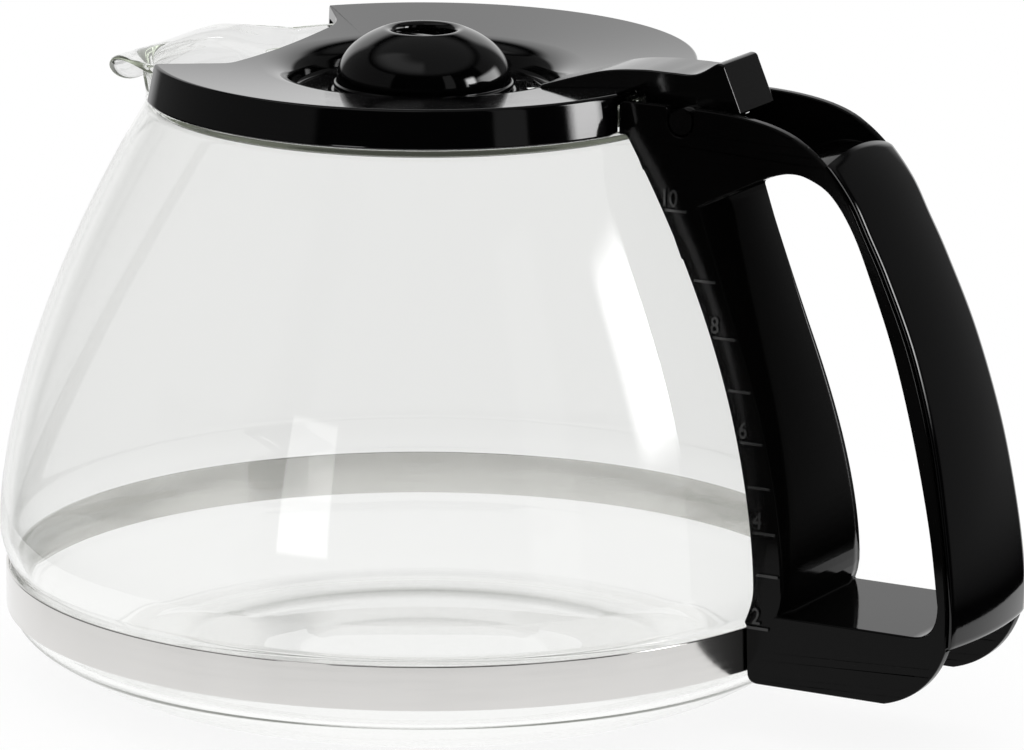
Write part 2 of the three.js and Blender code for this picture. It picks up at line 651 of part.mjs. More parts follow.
function lidCover() {
  const low = SKIRT_Z - COLLAR_H;
  const high = LID_TOP_Z + 5;
  const far = SKIRT_OUT_R + 9;
  let body = solid(turned(lidProfile(), LID_SIDES));
  body = body.subtract(solid(slab(notchOutline(), low, high)));
  body = body.subtract(solid(box(LID_BACK_X, far, -far, far, low, high)));
  const front = LEVER_FRONT_X - FIT;
  const pocket = [
    point(front, lidTop(front) - LEVER_POCKET),
    point(far, lidTop(far) - LEVER_POCKET),
    point(far, high + 5),
    point(front, high + 5),
  ];
  body = body.subtract(solid(plate(pocket, -LEVER_HALF - FIT, LEVER_HALF + FIT)));
  const middle = (SEAT_R + 0.8 + TROUGH_R - 0.8) / 2;
  for (let i = 0; i < DRAIN_COUNT; i += 1) {
    const drain = box(-DRAIN_W / 2, DRAIN_W / 2, -DRAIN_L / 2, DRAIN_L / 2, -5, 5).translate(middle, 0, TROUGH_FLOOR_Z);
    body = body.subtract(solid(drain.rotateZ(((i + 0.5) * 2 * Math.PI) / DRAIN_COUNT)));
  }
  return shape(body);
}

function dripDome() {
  const base = SEAT_Z + FIT;
  const skirt = base + DOME_FLANGE_T;
  const widest = skirt + DOME_SIDE;
  const rise = DOME_TOP_Z - widest;
  const outside = [point(STEM_R, base - DOME_STEM_L), point(STEM_R, base), point(SEAT_R, base), point(SEAT_R, skirt)];
  const inside = [];
  for (let i = 0; i <= 9; i += 1) {
    const a = (i / 9) * Math.acos((DOME_HOLE_R + 1.6) / DOME_R);
    outside.push(point(DOME_R * Math.cos(a), widest + (rise * Math.sin(a)) / Math.sin(Math.acos((DOME_HOLE_R + 1.6) / DOME_R))));
  }
  outside.splice(4, 0, point(DOME_R, skirt));
  const rim = [point(DOME_HOLE_R + 0.5, DOME_TOP_Z - 0.15), point(DOME_HOLE_R, DOME_TOP_Z - 0.8)];
  const under = DOME_TOP_Z - DOME_WALL - 0.9;
  for (let i = 6; i >= 0; i -= 1) {
    const a = (i / 6) * Math.acos(DOME_HOLE_R / (STEM_R - DOME_WALL));
    const lift = Math.sin(a) / Math.sin(Math.acos(DOME_HOLE_R / (STEM_R - DOME_WALL)));
    inside.push(point((STEM_R - DOME_WALL) * Math.cos(a), mix(widest - 1, under, lift)));
  }
  const foot = [point(STEM_R - DOME_WALL, base - DOME_STEM_L), point(STEM_R, base - DOME_STEM_L)];
  const cap = solid(turned([...outside, ...rim, ...inside, ...foot], 36));
  const half = DOME_HOLE_R + 0.6;
  const bridge = solid(box(-half, half, -DOME_BRIDGE_T / 2, DOME_BRIDGE_T / 2, under + 0.2, DOME_TOP_Z - 1.2));
  return shape(cap.add(bridge));
}

// Lever with thumb rest, lying in the lid's pocket; its trunnions turn in the bracket's slots
function leverOutline() {
  const under = (x) => lidTop(x) - LEVER_POCKET + FIT;
  const front = LEVER_FRONT_X;
  const back = LID_BACK_X;
  const barrel = [];
  for (let i = 0; i <= 10; i += 1) {
    const a = Math.PI * (1.06 + (0.94 * i) / 10);
    barrel.push(point(HINGE_X + BARREL_R * Math.cos(a), HINGE_Z + BARREL_R * Math.sin(a)));
  }
  const tip = THUMB_X - THUMB_LEAN;
  const top = new THREE.SplineCurve([
    point(tip - 1.9, THUMB_TOP_Z - 0.4),
    point(tip - 5.6, LEVER_TOP_Z + 0.2),
    point(HINGE_X - 5, LEVER_TOP_Z),
    point(HINGE_X - 11, LEVER_TOP_Z - 0.1),
    point(HINGE_X - 19, LEVER_TOP_Z - 1.2),
    point(front, lidTop(front) + 0.5),
  ]).getPoints(16);
  return [
    point(front, under(front)),
    point(back, under(back)),
    point(HINGE_X - 5, under(back) - 0.4),
    ...barrel,
    point(THUMB_X - 1.6, HINGE_Z + 0.9),
    point(THUMB_X + 0.6, HINGE_Z + 1.2),
    point(tip, THUMB_TOP_Z - 0.4),
    point(tip - 0.6, THUMB_TOP_Z),
    point(tip - 1.1, THUMB_TOP_Z),
    ...top,
  ];
}

function lidLever() {
  const arm = solid(plate(leverOutline(), -LEVER_HALF, LEVER_HALF));
  const end = HALF_END - FIT;
  const pin = solid(rodAlongY(HINGE_X, HINGE_Z, PIN_R, -end, end));
  return shape(arm.add(pin));
}

const jug = new THREE.Group();

function addPiece(name, geometry, color, roughness, metalness) {
  const material = new THREE.MeshStandardMaterial({ color, roughness, metalness });
  const mesh = new THREE.Mesh(geometry, material);
  mesh.name = name;
  jug.add(mesh);
  return mesh;
}

const glass = addPiece('glass_body', glassBody(), 0xf2f5f2, 0.03, 0);
glass.material.transparent = true;
glass.material.opacity = 0.25;
addPiece('steel_band', steelBand(), 0xcfcac5, 0.18, 1);
addPiece('clamp_nut', clampNut(), 0xb8b8b6, 0.35, 1);
addPiece('clamp_screw', clampScrew(), 0xb8b8b6, 0.35, 1);
addPiece('handle_frame', handleFrame(), 0x141314, 0.45, 0);
addPiece('grip_cover', gripCover(), 0x0b0b0c, 0.12, 0);
addPiece('lid_cover', lidCover(), 0x0b0b0c, 0.1, 0);
addPiece('drip_dome', dripDome(), 0x0b0b0c, 0.1, 0);
addPiece('lid_lever', lidLever(), 0x131213, 0.3, 0);

export default jug;
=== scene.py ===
# %% [markdown]
# # A glass jug of a drip coffee maker
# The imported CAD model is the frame: it fixes where every piece is and what moves. This lesson dresses it,
# piece by piece, with finer meshes and with the finishes of glass, polished steel and black moulded
# plastic. All sizes are in millimetres and become metres when a mesh is made.

# %% Load the frame
import math

import bmesh
import bpy
from mathutils import Matrix, Vector


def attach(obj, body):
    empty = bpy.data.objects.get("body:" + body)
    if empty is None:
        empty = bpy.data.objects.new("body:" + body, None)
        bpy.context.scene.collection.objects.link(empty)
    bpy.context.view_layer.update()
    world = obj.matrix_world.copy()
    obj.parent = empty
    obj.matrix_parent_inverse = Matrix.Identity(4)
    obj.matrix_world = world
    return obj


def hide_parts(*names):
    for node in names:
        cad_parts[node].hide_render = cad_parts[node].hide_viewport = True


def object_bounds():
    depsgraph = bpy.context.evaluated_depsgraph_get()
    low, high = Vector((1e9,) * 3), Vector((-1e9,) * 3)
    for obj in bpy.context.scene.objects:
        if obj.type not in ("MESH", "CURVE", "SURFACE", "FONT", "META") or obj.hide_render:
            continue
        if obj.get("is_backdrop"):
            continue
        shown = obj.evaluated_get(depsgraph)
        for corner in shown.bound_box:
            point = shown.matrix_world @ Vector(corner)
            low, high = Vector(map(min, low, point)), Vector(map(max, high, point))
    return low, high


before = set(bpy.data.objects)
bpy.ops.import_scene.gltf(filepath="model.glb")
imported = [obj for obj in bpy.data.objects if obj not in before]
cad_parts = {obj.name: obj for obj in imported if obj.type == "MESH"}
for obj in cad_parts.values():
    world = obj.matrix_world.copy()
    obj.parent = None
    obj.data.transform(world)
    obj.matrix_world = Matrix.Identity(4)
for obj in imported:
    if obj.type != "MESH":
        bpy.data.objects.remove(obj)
cad_low, cad_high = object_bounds()

# %% [markdown]
# ## Helpers for outlines and solids
# Turned, flat and swept plastic and glass parts all start as an outline. An outline could be drawn with
# Blender's curves, but plain lists of points are easier to offset, to round and to repeat with the exact
# sizes of the frame.

# %% Outlines
MM, MERGE, ON_AXIS = 0.001, 1e-7, 1e-6


def mix(a, b, share):
    return a + (b - a) * share


def bend(a, b, c, steps):
    """Quadratic curve from a to c that aims at b."""
    line = []
    for i in range(steps + 1):
        t = i / steps
        line.append(tuple((1 - t) ** 2 * p + 2 * t * (1 - t) * q + t * t * r for p, q, r in zip(a, b, c)))
    return line


def spline(points, steps):
    """Smooth line through points, evenly stepped over their count."""
    last = len(points) - 1
    line = []
    for i in range(steps + 1):
        at = min(last * i / steps, last - 1e-9)
        k = int(at)
        t = at - k
        p0, p1, p2, p3 = [points[min(max(j, 0), last)] for j in range(k - 1, k + 3)]
        row = []
        for a, b, c, d in zip(p0, p1, p2, p3):
            u, v = (c - a) / 2, (d - b) / 2
            row.append((2 * b - 2 * c + u + v) * t**3 + (3 * c - 3 * b - 2 * u - v) * t**2 + u * t + b)
        line.append(tuple(row))
    return line


def filleted(points, closed=False, steps=5):
    """Rounds the corners of an outline whose points are (x, y) or (x, y, radius)."""
    n = len(points)
    line = []
    for i, p in enumerate(points):
        radius = p[2] if len(p) > 2 else 0
        if radius == 0 or (not closed and i in (0, n - 1)):
            line.append((p[0], p[1]))
            continue
        here = Vector(p[:2])
        before, after = Vector(points[i - 1][:2]) - here, Vector(points[(i + 1) % n][:2]) - here
        cut = min(radius, before.length * 0.49, after.length * 0.49)
        line += bend(here + before.normalized() * cut, here, here + after.normalized() * cut, steps)
    return [(float(p[0]), float(p[1])) for p in line]


# %% Solids from outlines
def mended(mesh):
    """Merges doubles and turns all faces outwards."""
    bm = bmesh.new()
    bm.from_mesh(mesh)
    bmesh.ops.remove_doubles(bm, verts=bm.verts, dist=MERGE)
    bmesh.ops.recalc_face_normals(bm, faces=bm.faces)
    bm.to_mesh(mesh)
    bm.free()


def placed(name, data):
    """New object in the scene."""
    obj = bpy.data.objects.new(name, data)
    bpy.context.scene.collection.objects.link(obj)
    return obj


def solid(name, corners, faces):
    """Object from corners in millimetres."""
    mesh = bpy.data.meshes.new(name)
    mesh.from_pydata([(x * MM, y * MM, z * MM) for x, y, z in corners], [], faces)
    mended(mesh)
    return placed(name, mesh)


def turned(name, profile, angles):
    """Profile of (radius, height) turned round Z."""
    corners, faces, rows = [], [], []
    for radius, z in profile:
        ring = [0.0] if radius < ON_AXIS else angles
        rows.append([len(corners) + i for i in range(len(ring))])
        corners += [(radius * math.cos(a), radius * math.sin(a), z) for a in ring]
    for low, high in zip(rows, rows[1:]):
        for i in range(len(angles)):
            j = (i + 1) % len(angles)
            ring = [low[i % len(low)], low[j % len(low)], high[j % len(high)], high[i % len(high)]]
            faces.append([v for k, v in enumerate(ring) if v != ring[k - 1]])
    return solid(name, corners, [f for f in faces if len(f) > 2])


def even_angles(sides):
    return [2 * math.pi * i / sides for i in range(sides)]


def drawn(name, outline, low, high, axis="Y"):
    """Outline of (x, z) made thick along Y, or of (x, y) along Z."""
    n = len(outline)
    put = (lambda p, h: (p[0], h, p[1])) if axis == "Y" else (lambda p, h: (p[0], p[1], h))
    corners = [put(p, low) for p in outline] + [put(p, high) for p in outline]
    faces = [list(range(n)), list(range(2 * n - 1, n - 1, -1))]
    faces += [[i, (i + 1) % n, n + (i + 1) % n, n + i] for i in range(n)]
    return solid(name, corners, faces)


def block(name, x0, x1, y0, y1, z0, z1):
    return drawn(name, [(x0, z0), (x1, z0), (x1, z1), (x0, z1)], y0, y1)


def rod(name, x, z, radius, y0, y1, sides=64):
    ring = [(x + radius * math.cos(a), z + radius * math.sin(a)) for a in even_angles(sides)]
    return drawn(name, ring, y0, y1)


def lofted(name, rings):
    """Skin over rings with equal point counts, closed at both ends."""
    n = len(rings[0])
    corners = [p for ring in rings for p in ring]
    faces = [list(range(n)), list(range(len(corners) - 1, len(corners) - n - 1, -1))]
    for i in range(len(rings) - 1):
        for j in range(n):
            k = (j + 1) % n
            faces.append([i * n + j, i * n + k, (i + 1) * n + k, (i + 1) * n + j])
    return solid(name, corners, faces)


# %% Cutting, softening and handing over
def baked(obj):
    """The object's modifiers become its mesh."""
    graph = bpy.context.evaluated_depsgraph_get()
    mesh = bpy.data.meshes.new_from_object(obj.evaluated_get(graph), depsgraph=graph)
    obj.modifiers.clear()
    old, obj.data = obj.data, mesh
    bpy.data.meshes.remove(old)
    return obj


def joined(obj, tools, how):
    for tool in tools:
        change = obj.modifiers.new(tool.name, "BOOLEAN")
        change.operation, change.solver, change.object = how, "EXACT", tool
    baked(obj)
    for tool in tools:
        bpy.data.objects.remove(tool)
    return obj


def smoothed(obj, sharp=40):
    """Smooth shading with edges kept sharp past an angle."""
    obj.data.polygons.foreach_set("use_smooth", [True] * len(obj.data.polygons))
    obj.data.set_sharp_from_angle(angle=math.radians(sharp))
    return obj


def evened(obj, sharp=50):
    """Smooth shading in which large faces stay even up to their rounded edges."""
    smoothed(obj, sharp)
    even = obj.modifiers.new("even", "WEIGHTED_NORMAL")
    even.keep_sharp = True
    return baked(obj)


def softened(obj, width, angle=35, segments=3):
    """Rounded edges, as a mould leaves them, and even shading of the faces between."""
    edges = obj.modifiers.new("edges", "BEVEL")
    edges.width, edges.segments = width * MM, segments
    edges.limit_method, edges.angle_limit = "ANGLE", math.radians(angle)
    edges.use_clamp_overlap = False
    return evened(baked(obj))


def cleaned(obj, least):
    """Merges spots and drops slivers that cuts have left closer than a length in mm."""
    bm = bmesh.new()
    bm.from_mesh(obj.data)
    bmesh.ops.remove_doubles(bm, verts=bm.verts, dist=least * MM)
    bmesh.ops.dissolve_degenerate(bm, edges=bm.edges, dist=least * MM)
    bm.to_mesh(obj.data)
    bm.free()
    return obj


def level_faces(obj, is_level, normal_at):
    """Chosen faces that shade as one even surface, whatever triangles they are cut into."""
    mesh = obj.data
    normals = [n.vector.copy() for n in mesh.corner_normals]
    beside = {}
    for face in mesh.polygons:
        chosen = is_level(face)
        for key in face.edge_keys:
            beside.setdefault(key, set()).add(chosen)
        for k in face.loop_indices if chosen else ():
            spot = mesh.vertices[mesh.loops[k].vertex_index].co / MM
            normals[k] = normal_at(spot, face.normal).normalized()
    for edge in mesh.edges:
        edge.use_edge_sharp = edge.use_edge_sharp or len(beside.get(tuple(sorted(edge.vertices)), ())) == 2
    mesh.normals_split_custom_set(normals)
    return obj


SIDE_ON = 0.95


def is_side(face):
    return abs(face.normal.y) > SIDE_ON


def hand_over(obj, node, body, material):
    """The finished piece takes the node's place and rides on its body."""
    obj.data.materials.clear()
    obj.data.materials.append(material)
    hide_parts(node)
    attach(obj, body)
    obj.data.calc_loop_triangles()
    low, high = [[round(v / MM, 1) for v in p] for p in (obj.bound_box[0], obj.bound_box[6])]
    print(obj.name, "for", node, "from", low, "to", high, len(obj.data.loop_triangles), "triangles")


# %% [markdown]
# ## Shared effects of the finishes
# Moulded plastic is never one even black: the mould leaves a very fine grain, and handling leaves soft
# clouds in the gloss. All black finishes share one node group for that. It reads Object coordinates, so
# that the grain has its real size on every piece.

# %% Node group for the moulded skin
def wire(tree, source, target):
    tree.links.new(source, target)


def wires(tree, rows):
    """Links from rows of a node, its output, another node and its input."""
    for source, output, target, entry in rows:
        wire(tree, source.outputs[output], target.inputs[entry])


def fill(made, **inputs):
    """Sets inputs by name, with underscores for spaces."""
    for key, value in inputs.items():
        made.inputs[key.replace("_", " ")].default_value = value
    return made


def node(tree, kind, **inputs):
    return fill(tree.nodes.new("ShaderNode" + kind), **inputs)


def maths(tree, kind, a, b=None):
    made = node(tree, "Math")
    made.operation = kind
    for i, value in enumerate((a, b)):
        if isinstance(value, (int, float)):
            made.inputs[i].default_value = value
        elif value is not None:
            wire(tree, value, made.inputs[i])
    return made.outputs[0]


def group_of(name, inputs, outputs):
    tree = bpy.data.node_groups.new(name, "ShaderNodeTree")
    for key, value in inputs.items():
        socket = tree.interface.new_socket(key, in_out="INPUT", socket_type="NodeSocketFloat")
        socket.default_value = value
    for key in outputs:
        tree.interface.new_socket(key, in_out="OUTPUT", socket_type="NodeSocketFloat")
    return tree, tree.nodes.new("NodeGroupInput"), tree.nodes.new("NodeGroupOutput")


skin_scales = {"Grain Scale": 2600.0, "Cloud Scale": 55.0}
skin, skin_in, skin_out = group_of("moulded_skin", skin_scales, ["Grain", "Cloud"])
place = node(skin, "TexCoord")
for label, detail, rough in (("Grain", 2.0, 0.55), ("Cloud", 4.0, 0.6)):
    noise = node(skin, "TexNoise", Detail=detail, Roughness=rough)
    wires(skin, [
        (place, "Object", noise, "Vector"), (skin_in, label + " Scale", noise, "Scale"),
        (noise, "Fac", skin_out, label)])
print("moulded_skin has", [s.name for s in skin.interface.items_tree])

# %% Finishes that follow a node group
NOISE_LOW, NOISE_HIGH = 0.3, 0.7


def finish_of(name, group, tint_by, gloss_by, relief_by, tints, gloss, relief):
    """Finish whose colour, gloss and relief follow outputs of a node group."""
    finish = bpy.data.materials.new(name)
    finish.use_nodes = True
    tree = finish.node_tree
    shader = tree.nodes["Principled BSDF"]
    effect = node(tree, "Group")
    effect.node_tree = group
    tint = node(tree, "Mix")
    tint.data_type = "RGBA"
    for socket in tint.inputs:
        if socket.type == "RGBA":
            socket.default_value = (*tints["AB".index(socket.name)], 1)
    wire(tree, effect.outputs[tint_by], tint.inputs[0])
    wire(tree, [s for s in tint.outputs if s.type == "RGBA"][0], shader.inputs["Base Color"])
    rough = node(tree, "MapRange", From_Min=NOISE_LOW, From_Max=NOISE_HIGH)
    fill(rough, To_Min=gloss[0], To_Max=gloss[1])
    bump = node(tree, "Bump", Strength=relief[0], Distance=relief[1])
    wires(tree, [
        (effect, gloss_by, rough, "Value"), (rough, "Result", shader, "Roughness"),
        (effect, relief_by, bump, "Height"), (bump, "Normal", shader, "Normal")])
    return finish, shader, effect


# %% Black plastic in four finishes
PLASTIC_IOR, GRAIN_DEPTH = 1.52, 0.00004


def black_plastic(name, tints, gloss, grain, bump, mirror):
    relief = (bump, GRAIN_DEPTH)
    finish, shader, effect = finish_of(name, skin, "Cloud", "Cloud", "Grain", tints, gloss, relief)
    fill(shader, IOR=PLASTIC_IOR, Specular_IOR_Level=mirror)
    fill(effect, Grain_Scale=grain)
    return finish


lid_tints = (0.0006, 0.0006, 0.0007), (0.001, 0.001, 0.0011)
deep_tints = (0.0008, 0.0008, 0.0008), (0.0015, 0.0014, 0.0014)
# The scale's tints are lighter than the handle's black: painted sheen for the light that the raised ribs and
# numerals catch.
mark_sheen_tints = (0.007, 0.007, 0.007), (0.012, 0.012, 0.012)
gloss_black = black_plastic("gloss_black", lid_tints, (0.04, 0.08), grain=1500.0, bump=0.05, mirror=0.42)
satin_black = black_plastic("satin_black", deep_tints, (0.06, 0.11), grain=2600.0, bump=0.08, mirror=0.1)
lever_black = black_plastic("lever_black", deep_tints, (0.08, 0.13), grain=2600.0, bump=0.1, mirror=0.5)
scale_sheen_black = black_plastic("scale_sheen_black", mark_sheen_tints, (0.14, 0.22), grain=2600.0, bump=0.05, mirror=0.5)
print("finishes", gloss_black.name, satin_black.name, lever_black.name, scale_sheen_black.name)

# %% [markdown]
# ## Clear glass and steel
# Blown glass is clear, a little green where one looks along the wall, and not quite even: broad waves bend
# the reflections. The green comes from a constant absorption inside the wall, and from a weak glow there
# that stands for the light which the wall leads to its edges. The waves are a very weak bump. The band is
# bright rolled strip, with fine lines along its length.

# %% Clear glass
GLASS_IOR, WAVE_DEPTH = 1.48, 0.0012
clear_glass = bpy.data.materials.new("clear_glass")
clear_glass.use_nodes = True
tree = clear_glass.node_tree
shader = tree.nodes["Principled BSDF"]
fill(shader, Base_Color=(0.96, 0.96, 0.958, 1), Roughness=0.0, IOR=GLASS_IOR, Transmission_Weight=1.0)
spot = node(tree, "TexCoord")
waves = node(tree, "TexNoise", Scale=22.0, Detail=1.0)
relief = node(tree, "Bump", Strength=0.02, Distance=WAVE_DEPTH)
tone = node(tree, "VolumeAbsorption", Color=(0.6, 0.88, 0.74, 1), Density=3.0)
# The emission in the wall is a painted glow: it stands for the light that the wall leads to its edges.
painted_edge_glow = node(tree, "Emission", Color=(0.84, 0.9, 0.72, 1), Strength=14.0)
within = node(tree, "AddShader")
wires(tree, [
    (spot, "Object", waves, "Vector"), (waves, "Fac", relief, "Height"), (relief, "Normal", shader, "Normal"),
    (tone, "Volume", within, 0), (painted_edge_glow, "Emission", within, 1),
    (within, "Shader", tree.nodes["Material Output"], "Volume")])
print("glass with index", GLASS_IOR)

# %% Polished and plain steel
LINE_DEPTH = 0.00003
lines, lines_in, lines_out = group_of("rolled_lines", {"Along": 4.0, "Across": 900.0}, ["Line", "Patch"])
place = node(lines, "TexCoord")
split = node(lines, "SeparateXYZ")
wire(lines, place.outputs["Object"], split.inputs["Vector"])
angle = maths(lines, "ARCTAN2", split.outputs["Y"], split.outputs["X"])
strip_at = node(lines, "CombineXYZ")
wire(lines, maths(lines, "MULTIPLY", angle, lines_in.outputs["Along"]), strip_at.inputs["X"])
wire(lines, maths(lines, "MULTIPLY", split.outputs["Z"], lines_in.outputs["Across"]), strip_at.inputs["Y"])
streak = node(lines, "TexNoise", Scale=1.0, Detail=3.0)
patch = node(lines, "TexNoise", Scale=60.0, Detail=2.0)
wires(lines, [
    (strip_at, "Vector", streak, "Vector"), (streak, "Fac", lines_out, "Line"),
    (place, "Object", patch, "Vector"), (patch, "Fac", lines_out, "Patch")])


def steel(name, tints, gloss, bump):
    finish, shader, _ = finish_of(name, lines, "Patch", "Line", "Line", tints, gloss, (bump, LINE_DEPTH))
    fill(shader, Metallic=1.0)
    return finish


bright_tints = (0.68, 0.67, 0.655), (0.75, 0.74, 0.725)
zinc_tints = (0.42, 0.42, 0.41), (0.55, 0.55, 0.54)
polished_steel = steel("polished_steel", bright_tints, (0.09, 0.16), bump=0.05)
plain_steel = steel("plain_steel", zinc_tints, (0.28, 0.42), bump=0.2)
print("finishes", polished_steel.name, plain_steel.name)

# %% [markdown]
# ## The blown glass
# The body is a turned shape with one spout. A lathe gives the wall, and the spout is drawn out of it by the
# rule that the frame uses: near the front the wall leans out along a curling line, so the lip rolls over,
# here thinner towards its edge. Modelling the spout by hand or by sculpting would leave an uneven wall. The
# angles are closer together at the spout.

# %% Sizes of the glass
GLASS_R, BELLY_Z, BODY_CURVE = 75.8, 27.5, 1.68
BASE_R, SHOULDER_R, SHOULDER_Z, LEDGE_Z, NECK_R, RIM_Z = 52.7, 49.6, 102.7, 104.5, 45.8, 108.9
SEAT_R, BAND_LOW, BAND_HIGH, FIT = 73.85, 12.35, 20.25, 0.3
SPOUT_HALF, SPOUT_DEPTH, SPOUT_DIP = math.radians(28), 12.4, 0.6
SPOUT_CURL, SPOUT_EASE, SPOUT_REACH, SPOUT_ROUND = math.radians(170), 1.22, 0.79, 0.85


def body_radius(z):
    """Outer radius of the wall above the band."""
    if z < BELLY_Z:
        rise = min(max((z - BAND_HIGH - FIT) / (BELLY_Z - BAND_HIGH - FIT), 0), 1)
        return GLASS_R - (GLASS_R - SEAT_R) * (1 - math.sin(rise * math.pi / 2))
    share = min((z - BELLY_Z) / (SHOULDER_Z - BELLY_Z), 1)
    return GLASS_R - (GLASS_R - SHOULDER_R) * share**BODY_CURVE


print("wall at 60 mm:", round(body_radius(60), 2))


# %% Profile of the glass
def heel(out, up):
    return mix(BASE_R, SEAT_R, out), (BAND_LOW - FIT) * up


THIN, NECK_THIN, RECESS, RING_DEPTH = 1.3, 1.2, 0.15, 0.06
NECK_IN = NECK_R - NECK_THIN


def moved_in(line, by):
    """Line moved to its left by a thickness."""
    made = []
    for i, (r, z) in enumerate(line):
        before, after = line[max(i - 1, 0)], line[min(i + 1, len(line) - 1)]
        run = math.dist(before, after)
        made.append((r - (after[1] - before[1]) / run * by, z + (after[0] - before[0]) / run * by))
    return made


wall = bend(heel(0, 0), heel(0.292, 0), heel(0.822, 0.616), 20)
wall += bend(heel(0.822, 0.616), heel(0.979, 0.786), heel(1, 1), 10)[1:]
wall += [(body_radius(z), z) for z in (mix(BAND_HIGH + FIT, BELLY_Z, i / 12) for i in range(13))]
wall += [(body_radius(z), z) for z in (mix(BELLY_Z, SHOULDER_Z, i / 96) for i in range(1, 97))]
brow = (SHOULDER_R - 0.64, SHOULDER_Z + 1.1)
wall.append(brow)
FOOT_IN = BASE_R - 22
outside = [(0, RECESS), (FOOT_IN, RECESS)]
outside += spline([
    (FOOT_IN, RECESS), (BASE_R - 13, RECESS * 0.7), (BASE_R - 6, 0.0), (BASE_R - 2, 0.0)], 8)[1:] + wall
outside += bend(brow, (brow[0] - 0.4, LEDGE_Z), (brow[0] - 1.1, LEDGE_Z), 6)[1:] + [(NECK_R + 1.4, LEDGE_Z)]
outside += bend((NECK_R + 1.4, LEDGE_Z), (NECK_R, LEDGE_Z), (NECK_R, LEDGE_Z + 1.2), 5)[1:]
outside += [(NECK_R, mix(LEDGE_Z + 1.2, RIM_Z - 2.2, i / 8)) for i in range(1, 9)]
rim = spline([
    (NECK_R, RIM_Z - 2.2), (NECK_R + 0.35, RIM_Z - 1.2), (NECK_R + 0.15, RIM_Z - 0.3), (NECK_R - 0.5, RIM_Z),
    (NECK_R - 1.05, RIM_Z - 0.35), (NECK_IN, RIM_Z - 1.2)], 22)[1:]
wall_in = moved_in(wall, THIN)[::-1]
brow_in = wall_in[0]
shelf = LEDGE_Z - 1.1
inside = [(NECK_IN, mix(RIM_Z - 1.2, LEDGE_Z + 0.3, i / 12)) for i in range(1, 13)]
inside += bend((NECK_IN, LEDGE_Z + 0.3), (NECK_IN, shelf), (NECK_IN + 1.2, shelf), 6)[1:]
inside += bend((brow_in[0] - 1, shelf - 0.05), (brow_in[0] - 0.25, shelf - 0.1), brow_in, 6) + wall_in[1:]
floor_top = inside[-1][1]
for share in (0.84, 0.46):
    edge = BASE_R * share
    ring = [(edge + 1.5, floor_top), (edge - 1, floor_top - RING_DEPTH, 1.6)]
    ring += [(edge - 4, floor_top - RING_DEPTH, 1.6), (edge - 6.5, floor_top)]
    inside += filleted(ring, steps=6)
inside += [(0, floor_top)]
print("profile of", len(outside + rim + inside), "points")

# %% Turn the glass and draw the spout
FINE_STEPS, REST_STEPS, FINE_TO = 72, 170, 30
spread = [mix(-FINE_TO, FINE_TO, i / FINE_STEPS) for i in range(FINE_STEPS)]
spread += [mix(FINE_TO, 360 - FINE_TO, i / REST_STEPS) for i in range(REST_STEPS)]
jug_glass = turned("jug_glass", outside + rim + inside, [math.pi + math.radians(a) for a in spread])


def spout_line(part, curl, steps=32):
    """Middle of the wall after a share of its way up, and its highest point."""
    x = z = top = 0.0
    for i in range(steps):
        lean = SPOUT_CURL * curl * ((i + 0.5) / steps * part) ** SPOUT_EASE
        x, z = x + math.sin(lean) * part / steps, z + math.cos(lean) * part / steps
        top = max(top, z)
    return x, z, top


LIP = 0.4
root, middle = RIM_Z - SPOUT_DEPTH, (NECK_R + NECK_IN) / 2
for vertex in jug_glass.data.vertices:
    x, y, z = vertex.co / MM
    around = math.atan2(y, -x)
    turn = abs(around) / SPOUT_HALF
    if z < root or turn >= 1:
        continue
    curl = math.cos(turn * math.pi / 2) ** SPOUT_ROUND
    part = (z - root) / SPOUT_DEPTH
    out, up, _ = spout_line(part, curl)
    size = (SPOUT_DEPTH - SPOUT_DIP * curl**4) / spout_line(1, curl)[2]
    lean = SPOUT_CURL * curl * part**SPOUT_EASE
    off = (math.hypot(x, y) - middle) * mix(1, LIP, curl * part)
    radius = middle + out * size * mix(1, SPOUT_REACH, curl) + off * math.cos(lean)
    height = root + up * size - off * math.sin(lean)
    vertex.co = Vector((-radius * math.cos(around), radius * math.sin(around), height)) * MM
smoothed(jug_glass, 60)
hand_over(jug_glass, "glass_body", "jug", clear_glass)

# %% [markdown]
# ## The steel band
# The band is one strip that follows the waist of the glass; its two ends turn out into the foot of the
# handle and hook behind the clamp nut. A strip along a path is a case for Geometry Nodes: a small rounded
# section is swept along the path, and the height, the thickness and the edge can be changed in the
# modifier.

# %% Tree that sweeps a strip
def nodes_tree(name, *sizes):
    """Tree whose inputs are a geometry, some lengths and a finish."""
    tree = bpy.data.node_groups.new(name, "GeometryNodeTree")
    tree.interface.new_socket("Geometry", in_out="INPUT", socket_type="NodeSocketGeometry")
    for key in sizes:
        tree.interface.new_socket(key, in_out="INPUT", socket_type="NodeSocketFloat")
    tree.interface.new_socket("Finish", in_out="INPUT", socket_type="NodeSocketMaterial")
    tree.interface.new_socket("Geometry", in_out="OUTPUT", socket_type="NodeSocketGeometry")
    return tree, tree.nodes.new("NodeGroupInput"), tree.nodes.new("NodeGroupOutput")


def geometry_nodes(tree, *kinds):
    return [tree.nodes.new("GeometryNode" + kind) for kind in kinds]


def driven_by(obj, tree, values):
    """Adds the tree to an object, sets its inputs by identifier and bakes the result."""
    change = obj.modifiers.new(tree.name, "NODES")
    change.node_group = tree
    for item in tree.interface.items_tree:
        if item.in_out == "INPUT" and item.name in values:
            change[item.identifier] = values[item.name]
    return baked(obj)


